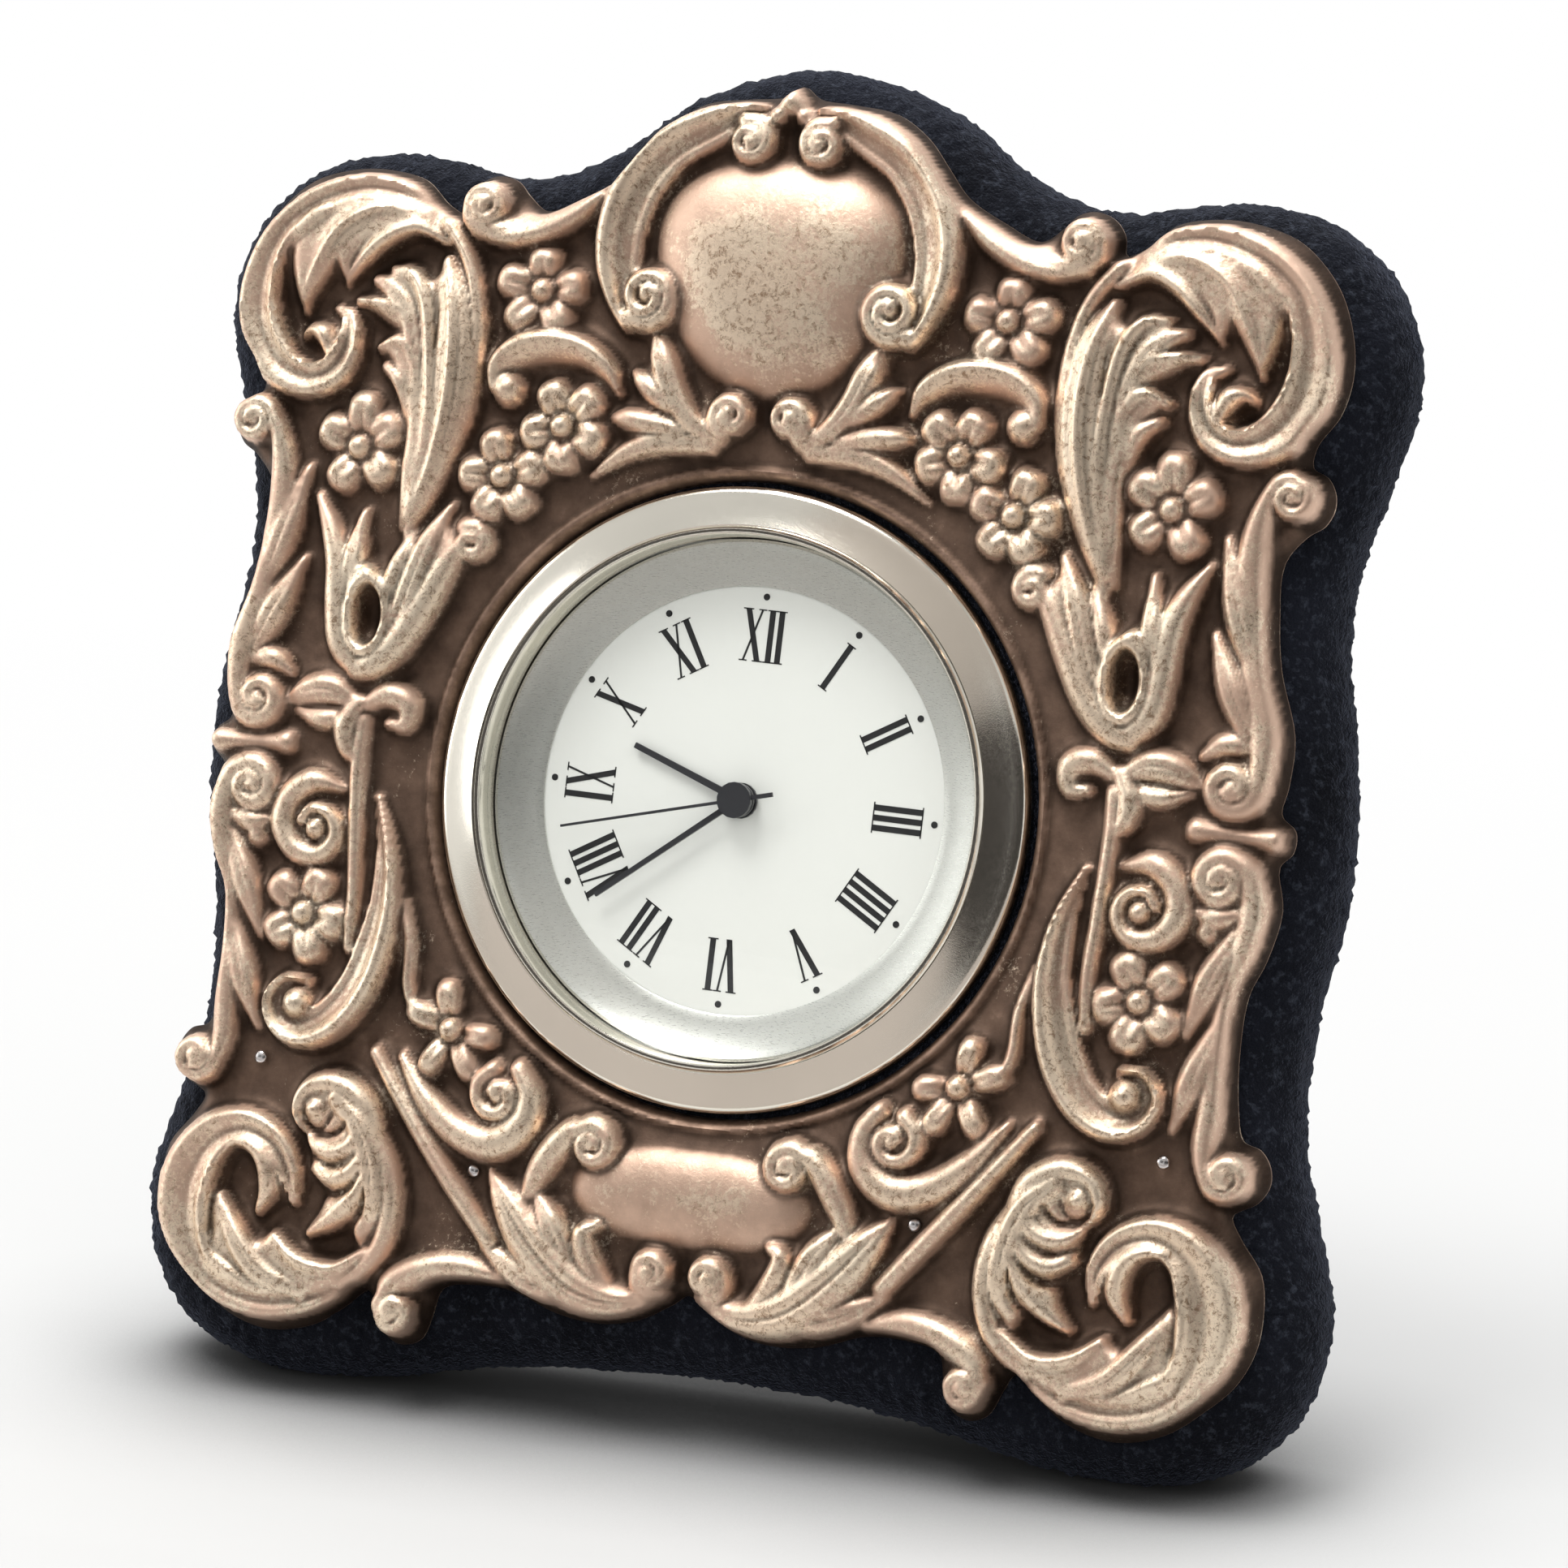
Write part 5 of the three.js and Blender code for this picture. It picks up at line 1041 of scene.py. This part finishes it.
def silver_material():
    s = Shader("worn_silver_painted_shade", Metallic=1.0)
    parts = s.node("SeparateColor")
    s.put(s.node("VertexColor", layer_name="tone_wear_painted_shade").outputs["Color"], parts.inputs["Color"])
    # crease is painted shade: it marks the narrow creases where the colour is darkened
    hollow, high, crease = parts.outputs
    clouds = s.maths("SUBTRACT", s.noise(420, 5, 0.65), 0.5)
    toned = s.maths("ADD", hollow, s.maths("MULTIPLY", clouds, 0.7))
    under = s.ramp(
        toned,
        (0.15, (0.74, 0.53, 0.405)),
        (0.4, (0.56, 0.39, 0.295)),
        (0.68, (0.23, 0.154, 0.113)),
        (0.95, (0.12, 0.08, 0.06)),
    )
    pale = s.ramp(s.noise(80, 3, 0.5), (0.35, (0.95, 0.81, 0.63)), (0.7, (0.93, 0.74, 0.56)))
    # pale metal in grains where the toning is rubbed away, most of all on the heights
    fine = s.noise(2700, 4, 0.75, 0.4)
    grain = s.maths("MULTIPLY", fine, 0.5)
    patch = s.maths("MULTIPLY", s.noise(190, 4, 0.6), 0.5)
    rubbed = s.maths("ADD", s.maths("ADD", grain, patch), s.maths("MULTIPLY", high, 0.26))
    rubbed = s.ramp(rubbed, (0.6, 0.0), (0.71, 1.0))
    specks = s.ramp(s.noise(1900, 5, 0.85, 0.5), (0.38, (0.4, 0.31, 0.25)), (0.5, (1.0, 1.0, 1.0)))
    colour = s.mix(under, s.mix(pale, specks, 0.9, "MULTIPLY"), rubbed)
    # painted shade: the colour darkens in the narrow creases
    s.set("Base Color", s.mix(colour, s.ramp(crease, (0.53, 1.0), (0.86, 0.36)), 1.0, "MULTIPLY"))
    s.set("Roughness", s.mix(s.ramp(toned, (0.2, 0.5), (0.8, 0.62)), (0.43, 0.43, 0.43, 1), rubbed))
    s.bump(s.mix(fine, s.noise(600, 3, 0.5), 0.4), 0.35, 0.00014)
    return s.material


def velvet_material():
    s = Shader("navy_velvet", Roughness=0.95, Sheen_Weight=1.0, Sheen_Roughness=0.35)
    s.set("Sheen Tint", (0.065, 0.073, 0.1, 1))
    s.set("Specular IOR Level", 0.1)
    nap = s.noise(90, 4, 0.6)
    ground = s.ramp(nap, (0.3, (0.0025, 0.0028, 0.0042)), (0.7, (0.007, 0.008, 0.0125)))
    tips = s.ramp(s.noise(1500, 3, 0.75), (0.52, 0.0), (0.74, 0.65))
    s.set("Base Color", s.mix(ground, (0.036, 0.041, 0.054, 1), tips))
    s.bump(s.mix(s.noise(3200, 2, 0.7), s.noise(1300, 3, 0.6), 0.45), 0.9, 0.0005)
    return s.material


def metal_material(name, colour, roughness, scale=900, stretch=None, metallic=1.0):
    s = Shader(name, Metallic=metallic)
    s.set("Base Color", s.ramp(s.noise(120, 3, 0.5), (0.3, colour), (0.75, shaded(colour, 0.93))))
    wear = s.noise(scale, 4, 0.6, stretch=stretch)
    s.set("Roughness", s.ramp(wear, (0.3, roughness * 0.8), (0.7, roughness * 1.25)))
    s.bump(s.noise(scale * 2, 2, 0.6, stretch=stretch), 0.06, 0.00005)
    return s.material


def plain_material(name, colour, roughness, spread=0.9):
    s = Shader(name)
    s.set("Base Color", s.ramp(s.noise(200, 3, 0.5), (0.3, colour), (0.72, shaded(colour, spread))))
    wear = s.noise(400, 3, 0.5)
    s.set("Roughness", s.ramp(wear, (0.3, roughness * 0.9), (0.7, min(1.0, roughness * 1.1))))
    s.bump(s.noise(1200, 3, 0.6), 0.3, 0.00004)
    return s.material


def glass_material():
    s = Shader("crystal_glass")
    s.tree.nodes.remove(s.main)
    clear = s.node("BsdfTransparent")
    s.put((0.95, 0.955, 0.95, 1), clear.inputs["Color"])
    gloss = s.node("BsdfGlossy")
    s.put(s.ramp(s.noise(700, 4, 0.6), (0.45, 0.0), (0.8, 0.06)), gloss.inputs["Roughness"])
    facing = s.node("LayerWeight").outputs["Facing"]
    mirror = s.ramp(facing, (0.0, 0.015), (0.5, 0.05), (0.75, 0.18), (0.92, 0.5), (1.0, 0.9))
    s.blend(mirror, clear, gloss, "Material Output")
    return s.material


def wood_material():
    s = Shader("plain_wood", Roughness=0.7)
    grain = s.noise(40, 6, 0.6, 1.2, stretch=(6, 1, 1))
    s.set("Base Color", s.ramp(grain, (0.3, (0.42, 0.28, 0.16)), (0.7, (0.58, 0.42, 0.26))))
    s.bump(grain, 0.2, 0.0002)
    return s.material


# Lathe pieces


def ring_band(rings):
    """Faces between rings of equal count, joined round each ring and from the last to the first."""
    count, total = len(rings[0]), len(rings)
    faces = []
    for k in range(total):
        a0, b0 = k * count, ((k + 1) % total) * count
        for i in range(count):
            j = (i + 1) % count
            faces.append((a0 + i, a0 + j, b0 + j, b0 + i))
    return np.vstack(rings), faces


def lathe(name, profile, body, slot, material, segments=192, at=(0, 0), smooth_angle=35):
    """A closed profile of (radius, y), listed from the front outwards, turned round an axis along y."""
    rings = []
    for angle in np.linspace(0, 2 * math.pi, segments, endpoint=False):
        c, s = math.cos(angle), math.sin(angle)
        rings.append([(at[0] + r * c, y, at[1] + r * s) for r, y in profile])
    piece = add_piece(name, *ring_band(rings), body, slot, material, smooth_angle)
    weld(piece)
    return piece


def weld(piece):
    """Joins points that share a place, such as those on an axis, and turns the faces outwards."""
    bm = bmesh.new()
    bm.from_mesh(piece.data)
    bmesh.ops.remove_doubles(bm, verts=bm.verts, dist=1e-7)
    bmesh.ops.dissolve_degenerate(bm, dist=1e-8, edges=bm.edges)
    bmesh.ops.recalc_face_normals(bm, faces=bm.faces)
    bm.to_mesh(piece.data)
    bm.free()


def arc(r0, y0, r1, y1, bulge, steps=6):
    """Points between two profile points on a shallow curve."""
    length = math.hypot(r1 - r0, y1 - y0)
    points = []
    for k in range(steps + 1):
        t = k / steps
        lift = bulge * 4 * t * (1 - t)
        r = r0 + t * (r1 - r0) + lift * (y1 - y0) / length
        points.append((r, y0 + t * (y1 - y0) - lift * (r1 - r0) / length))
    return points


BEZEL_PROFILE = [
    (BEZEL_RADIUS, -0.3), (BEZEL_RADIUS, -1.6), (22.3, -1.85), (22.05, -2.02),
    *arc(21.9, -2.07, 19.6, -2.76, 0.04), (19.5, -2.72), (19.42, -2.8), (19.3, -2.97), (19.1, -3),
    (18.95, -2.95), (18.85, -2.75), (18.78, -0.4), (18.9, 1.3), (19.7, 1.3), (19.7, -0.3),
]
RING_PROFILE = [
    (18.7, -0.5), (18.5, -0.58), (18.35, -0.5), *arc(18.25, -0.42, 15.55, 0.66, 0.08),
    (DIAL_SIGHT, 0.74), (DIAL_SIGHT, 0.86), (18.7, 0.86),
]


def crystal_profile(steps=14):
    """A domed front with a flat margin, and a hollow back."""
    front, back = [], []
    for k in range(steps + 1):
        r = CRYSTAL_RADIUS * k / steps
        rise = DOME_RISE * (1 - (r / DOME_RADIUS) ** 2) if r < DOME_RADIUS else -DOME_MARGIN
        front.append((r, CRYSTAL_FRONT - rise))
        back.append((r, CRYSTAL_BACK - HOLLOW_RISE * max(0, 1 - (k / (steps - 1)) ** 2)))
    return front + back[::-1]


def clock_face():
    bezel_metal = metal_material("champagne_metal", (0.95, 0.9, 0.79), 0.15, 5000)
    ring_metal = metal_material("inner_ring_metal", (0.72, 0.72, 0.68), 0.3, 2500, (1, 1, 9), 0.68)
    bezel = lathe("bezel_ring", BEZEL_PROFILE, "insert", "bezel_metal", bezel_metal)
    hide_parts("bezel")
    crystal = lathe("domed_crystal", crystal_profile(), "insert", "crystal", glass_material(), 160)
    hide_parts("crystal")
    ring = lathe("sloped_ring", RING_PROFILE, "insert", "bezel_metal", ring_metal)
    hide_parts("reflector_ring")


# Dial print, with a letter's measures as shares of its height

STEM, HAIR, SERIF = 0.057, 0.02, 0.024
STEM_FOOT, HAIR_FOOT = STEM + 0.045, 0.08


def bar(x0, z0, x1, z1, half):
    """A slanted bar with level ends."""
    return [(x0 - half, z0), (x0 + half, z0), (x1 + half, z1), (x1 - half, z1)]


def letter(name):
    """Polygons and width of a Roman numeral's letter, one unit high."""
    if name == "I":
        width = 0.19
        shapes = [bar(width / 2, 0, width / 2, 1, STEM)]
        feet = tops = [(width / 2, STEM_FOOT)]
    elif name == "V":
        width = 0.5
        shapes = [bar(0.27, 0, 0.12, 1, STEM), bar(0.27, 0, 0.4, 1, HAIR)]
        feet, tops = [], [(0.12, STEM_FOOT), (0.4, HAIR_FOOT)]
    else:
        width = 0.52
        shapes = [bar(0.4, 0, 0.12, 1, STEM), bar(0.11, 0, 0.41, 1, HAIR)]
        feet, tops = [(0.4, STEM_FOOT), (0.11, HAIR_FOOT)], [(0.12, STEM_FOOT), (0.41, HAIR_FOOT)]
    shapes += [bar(x, 0, x, SERIF, half) for x, half in feet]
    shapes += [bar(x, 1 - SERIF, x, 1, half) for x, half in tops]
    return shapes, width


def turned(shape, hour):
    """A shape drawn at XII, turned to an hour."""
    angle = -math.radians(30 * hour - DIAL_TURN)
    c, s = math.cos(angle), math.sin(angle)
    return [(x * c - z * s, x * s + z * c) for x, z in shape]


def dial_print():
    ink = plain_material("printed_ink", (0.02, 0.02, 0.022), 0.5)
    points, faces = [], []

    def print_shape(shape):
        start, count = len(points), len(shape)
        for y in (DIAL_FRONT - INK, DIAL_FRONT + INK):
            points.extend((x, y, z) for x, z in shape)
        faces.append([start + k for k in range(count)])
        faces.append([start + count + k for k in reversed(range(count))])
        for k in range(count):
            n = (k + 1) % count
            faces.append([start + n, start + k, start + count + k, start + count + n])

    foot = NUMERAL_RADIUS - NUMERAL_HEIGHT / 2
    around = np.linspace(0, 2 * math.pi, 14, endpoint=False)
    dot = [(DOT_RADIUS * math.cos(a), DOT_RING + DOT_RADIUS * math.sin(a)) for a in around]
    for hour, numeral in enumerate("XII I II III IIII V VI VII VIII IX X XI".split()):
        letters = [letter(name) for name in numeral]
        across = -sum(width for _, width in letters) / 2
        for shapes, width in letters:
            for shape in shapes:
                placed = [(NUMERAL_HEIGHT * (across + x), foot + NUMERAL_HEIGHT * z) for x, z in shape]
                print_shape(turned(placed, hour))
            across += width
        print_shape(turned(dot, hour))
    weld(add_piece("dial_numerals", points, faces, "insert", "hand_dark", ink, 20))


# Velvet


def at_level(outline, y):
    return np.stack([outline[:, 0], np.full(len(outline), y), outline[:, 1]], axis=1)


def circle_like(outline, radius):
    """Points on a circle, each between its outline point's angle and an even share of the turn."""
    angle = np.unwrap(np.arctan2(outline[:, 1], outline[:, 0]))
    even = np.linspace(angle[0], angle[0] - 2 * math.pi, len(outline), endpoint=False)
    angle = 0.5 * angle + 0.5 * even
    return radius * np.stack([np.cos(angle), np.sin(angle)], axis=1)


def between(first, second, share):
    return first + share * (second - first)


def pile(piece, depth, seed):
    """Small uneven tufts all over a velvet piece, and a level sole where it stands."""
    mesh = piece.data
    count = len(mesh.vertices)
    rng = np.random.default_rng(seed)
    normals = np.empty(count * 3, np.float32)
    mesh.vertices.foreach_get("normal", normals)
    places = np.empty(count * 3, np.float32)
    mesh.vertices.foreach_get("co", places)
    places, normals = places.reshape(-1, 3).astype(float), normals.reshape(-1, 3)
    waves = np.zeros(count)
    for size, share in ((0.011, 0.9), (0.004, 0.5), (0.0017, 0.35)):
        for _ in range(5):
            way = rng.normal(size=3)
            along = places @ (way / np.linalg.norm(way))
            waves += share * np.sin(along * 2 * math.pi / size + rng.uniform(0, 6.3)) / 5
    tufts = 0.5 * waves + rng.normal(size=count) * 0.55
    places += normals * (tufts * depth * MM)[:, None]
    places[:, 2] = np.maximum(places[:, 2], 0)
    mesh.vertices.foreach_set("co", places.astype(np.float32).ravel())
    mesh.update()


def rounding(outline, radius, angles):
    """Rings of a quarter round inside an outline, each with its fall from the face."""
    return [(inset(outline, radius * (1 - math.sin(a))), radius * (1 - math.cos(a))) for a in angles]


def velvet_piece(name, rings, depth, seed, velvet):
    piece = add_piece(name, *ring_band(rings), "frame", "velvet", velvet, 180)
    weld(piece)
    pile(piece, depth, seed)
    return piece


def velvet_wrap(velvet):
    outline = even_outline(BOARD_HALF, 900)
    edge = rounding(outline, EDGE_ROUND, np.linspace(0, math.pi / 2, 13))
    front = [at_level(ring, fall) for ring, fall in edge]
    back = [at_level(ring, VELVET_BACK - fall) for ring, fall in reversed(edge)]
    deep = inset(outline, 9)
    face = [at_level(between(deep, inset(outline, EDGE_ROUND), k / 9), 0) for k in range(9)]
    bore = circle_like(outline, BORE_RADIUS)
    rings = [at_level(bore, 0), *face, *front, at_level(outline, 0.5 * VELVET_BACK), *back]
    # hem round the back panel, then the hollow for the board
    rings += [at_level(inset(outline, HEM_INSET), y) for y in (VELVET_BACK, BOARD_BACK)]
    rings += [at_level(inset(outline, PADDING), y) for y in (BOARD_BACK, BOARD_FRONT)]
    rings.append(at_level(bore, BOARD_FRONT))
    piece = velvet_piece("velvet_edge", rings, 0.16, 5, velvet)
    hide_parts("velvet_wrap")


def velvet_panel(velvet):
    outline = inset(even_outline(BOARD_HALF, 640), PANEL_INSET)
    hole = circle_like(outline, ACCESS_RADIUS)
    steps = 44
    face = [at_level(between(hole, outline, k / steps), VELVET_BACK) for k in range(steps)]
    quarter = rounding(outline, PANEL_ROUND, np.linspace(0.2, math.pi / 2, 4))
    edge = [at_level(ring, VELVET_BACK - fall) for ring, fall in quarter]
    front = [at_level(outline, PANEL_FRONT), at_level(hole, PANEL_FRONT)]
    piece = velvet_piece("velvet_back", [*face, *edge, *front], 0.07, 7, velvet)
    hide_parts("back_panel")


def soft_copy(node, name, voxel, depth, seed, velvet):
    """A velvet piece in the shape of a CAD node, with its edges softened."""
    remesh = bpy.data.objects.new(name + "_source", nodes[node].data.copy())
    scene.collection.objects.link(remesh)
    step = remesh.modifiers.new("remesh", "REMESH")
    step.mode = "VOXEL"
    step.voxel_size = voxel * MM
    soften = remesh.modifiers.new("soften", "SMOOTH")
    soften.factor, soften.iterations = 0.5, 4
    evaluated = remesh.evaluated_get(bpy.context.evaluated_depsgraph_get())
    mesh = bpy.data.meshes.new_from_object(evaluated)
    bpy.data.objects.remove(remesh)
    mesh.name = name
    piece = add_mesh(name, mesh, "strut", velvet, 180)
    pile(piece, depth, seed)
    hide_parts(node)


# Small fasteners


def tack(name, x, z, y, radius, way, slot, material):
    """A domed head on a face that looks to the front, or to the back for a way of 1."""
    rise, seat = 0.55 * radius, 0.3 * radius
    slopes = np.linspace(0, math.pi / 2, 6)
    dome = [(radius * math.sin(a), y + way * rise * math.cos(a)) for a in slopes]
    lathe(name, dome + [(0, y - way * seat)], "frame", slot, material, 20, (x, z), 60)


def tacks(brass):
    """Pins that hold the front on the board, and brads in the fixed leaf of the hinge."""
    steel = metal_material("pin_steel", (0.74, 0.72, 0.72), 0.25)
    for k, (x, z) in enumerate([(34.75, -22.1), (-34.75, -22.1), (17, -28.5), (-17, -28.5)]):
        tack(f"front_pin_{k + 1}", x, z, PIN_SEAT, PIN_RADIUS, -1, "silver", steel)
    for k, (x, z) in enumerate([(-5.6, 25.4), (0, 28.2), (5.6, 25.4)]):
        tack(f"hinge_brad_{k + 1}", x, z, LEAF_FACE, BRAD_RADIUS, 1, "hinge_brass", brass)


def paint_nodes(brass):
    """Every carried-over CAD node gets its own finish."""
    wood = wood_material()
    hands = plain_material("hand_lacquer", (0.035, 0.035, 0.04), 0.35)
    steel = metal_material("stamped_steel", (0.62, 0.62, 0.63), 0.28)
    black = plain_material("black_plastic", (0.022, 0.022, 0.024), 0.45)
    white = plain_material("white_plastic", (0.82, 0.82, 0.79), 0.45)
    groups = (
        (wood, "backing_board strut_core"),
        (hands, "hour_hand minute_hand second_hand"),
        (brass, "hinge_fixed_leaf hinge_moving_leaf hinge_pin"),
        (black, "case_body case_back battery_hatch setting_knob"),
        (steel, "stator coil_core quartz_can button_cell lower_contact side_contact"),
        (plain_material("dial_white", (0.84, 0.837, 0.8), 0.55, 0.99), "dial"),
        (plain_material("grip_rubber", (0.55, 0.53, 0.5), 0.75), "grip_ring"),
        (metal_material("turned_brass", (0.78, 0.6, 0.3), 0.25), "centre_wheel"),
        (plain_material("magnet", (0.05, 0.05, 0.055), 0.4), "rotor"),
        (metal_material("copper_wire", (0.75, 0.36, 0.18), 0.35, stretch=(8, 1, 1)), "coil"),
        (plain_material("circuit_card", (0.04, 0.2, 0.1), 0.5), "circuit_board"),
    )
    finish = {name: material for material, names in groups for name in names.split()}
    for name, node in nodes.items():
        if not node.hide_render:
            node.data.materials.clear()
            node.data.materials.append(finish.get(name, white))


# Stage: floor, light and camera, in metres

FLOOR_HALF = 3.0
LIT_PLACE = Vector((0, -0.015, 0.045))
LAMPS = {
    "key": ((-0.17, -0.19, 0.768), 0.34, 4.4),
    "side": ((-0.62, -0.14, 0.24), 0.4, 1.1),
    "fill": ((0.42, -0.28, 0.35), 0.34, 0.75),
    "top": ((-0.06, 0.2, 0.6), 0.4, 2.4),
}
LENS_AZIMUTH, LENS_ELEVATION, LENS_DISTANCE = 21.59, 14.14, 0.4459
LENS_ANGLE = 14.3395
LENS_SHIFT = (0.002957, 0.001479, 0.001137)


def plate(name, half_width, half_height, material):
    """A flat stage piece."""
    w, h = half_width, half_height
    mesh = bpy.data.meshes.new(name)
    mesh.from_pydata([(-w, -h, 0), (w, -h, 0), (w, h, 0), (-w, h, 0)], [], [(0, 1, 2, 3)])
    mesh.materials.append(material)
    piece = bpy.data.objects.new(name, mesh)
    scene.collection.objects.link(piece)
    return piece


def floor():
    """A pale floor with a painted contact shadow close to the clock, running into white behind it."""
    s = Shader("pale_floor_painted_shadow", Roughness=0.9)
    # painted contact shadow: ambient occlusion darkens the floor's colour close to the clock, down to near
    # black
    near = s.node("AmbientOcclusion", samples=12)
    s.put(0.022, near.inputs["Distance"])
    outside_painted_shadow = s.ramp(near.outputs["AO"], (0.35, 0.02), (0.95, 1.0))
    s.set("Base Color", s.mix((0.02, 0.02, 0.021, 1), (0.435, 0.435, 0.43, 1), outside_painted_shadow))
    depth = s.spread(s.part("Object", "Y"), -0.05, 0.2, 0.1, 1.0)
    # the glow behind the clock fades in the painted shadow as well
    share = s.maths("MULTIPLY", s.seen(), s.maths("MULTIPLY", depth, outside_painted_shadow))
    s.blend(share, s.main, s.node("Emission"), "Material Output")
    plate("floor", FLOOR_HALF, FLOOR_HALF, s.material)


def surroundings():
    """An even light all round, and a white that greys overhead for what is seen."""
    scene.world = bpy.data.worlds.new("studio")
    scene.world.use_nodes = True
    s = Tree(scene.world.node_tree)
    ambient = s.tree.nodes["Background"]
    s.put((1, 1, 1, 1), ambient.inputs["Color"])
    s.put(1.0, ambient.inputs["Strength"])
    white = s.node("Background")
    s.put(s.spread(s.part("Generated", "Z"), 0.3, 1.0, 1.0, 0.45), white.inputs["Strength"])
    s.blend(s.seen(), ambient, white, "World Output")


def lamps():
    for name, (place, width, power) in LAMPS.items():
        lamp = bpy.data.lights.new(name, "AREA")
        lamp.size, lamp.energy = width, power
        holder = bpy.data.objects.new(name, lamp)
        holder.location = place
        holder.rotation_euler = (LIT_PLACE - Vector(place)).to_track_quat("-Z", "Y").to_euler()
        holder.visible_glossy = name != "fill"
        scene.collection.objects.link(holder)


def way_out(azimuth, elevation):
    """The way from the clock at angles in degrees, with azimuth 0 to the front."""
    a, e = math.radians(azimuth), math.radians(elevation)
    return Vector((math.sin(a) * math.cos(e), -math.cos(a) * math.cos(e), math.sin(e)))


def cards():
    """Cards beside the lens and on the floor in front, seen only in the metal."""

    def facing_clock(azimuth, elevation, distance):
        way = way_out(azimuth, elevation)
        return LIT_PLACE + way * distance, -way

    on_floor = Vector((-0.1, -0.31, 0.001)), Vector((0, 0, 1))
    placed = {
        "card_right": (facing_clock(38, 8, 0.6), 0.7, 0.5, 0.03),
        "card_high": (facing_clock(14, 46, 0.7), 0.58, 0.42, 0.42),
        "card_left": (facing_clock(-22, 17, 0.8), 0.55, 0.34, 0.05),
        "card_lens": (facing_clock(16, 4, 0.7), 0.3, 0.16, 0.03),
        "card_low": (on_floor, 0.9, 0.5, 0.25),
    }
    for name, ((place, facing), width, height, shade) in placed.items():
        s = Shader(name, Roughness=0.9, Specular_IOR_Level=0.0)
        s.set("Base Color", (shade, 0.92 * shade, 0.88 * shade, 1))
        card = plate(name, width / 2, height / 2, s.material)
        card.location = place
        card.rotation_euler = facing.to_track_quat("Z", "Y").to_euler()
        card.visible_camera = card.visible_diffuse = card.visible_shadow = False
        card.visible_transmission = False


def camera():
    back = way_out(LENS_AZIMUTH, LENS_ELEVATION)
    data = bpy.data.cameras.new("camera")
    data.sensor_fit = "HORIZONTAL"
    data.angle = math.radians(LENS_ANGLE)
    lens = bpy.data.objects.new("camera", data)
    lens.location = Vector(CENTRE + LENS_SHIFT) + back * LENS_DISTANCE
    lens.rotation_euler = (-back).to_track_quat("-Z", "Y").to_euler()
    scene.collection.objects.link(lens)
    scene.camera = lens


scene.view_settings.view_transform = "Standard"
velvet = velvet_material()
silver_front()
clock_face()
dial_print()
velvet_wrap(velvet)
velvet_panel(velvet)
soft_copy("strut_cover", "velvet_strut", 0.3, 0.06, 11, velvet)
soft_copy("strut_lining", "strut_inner", 0.25, 0.03, 13, velvet)
brass = metal_material("rolled_brass", (0.72, 0.55, 0.28), 0.3)
paint_nodes(brass)
tacks(brass)
floor()
surroundings()
lamps()
cards()
camera()

bpy.context.view_layer.update()
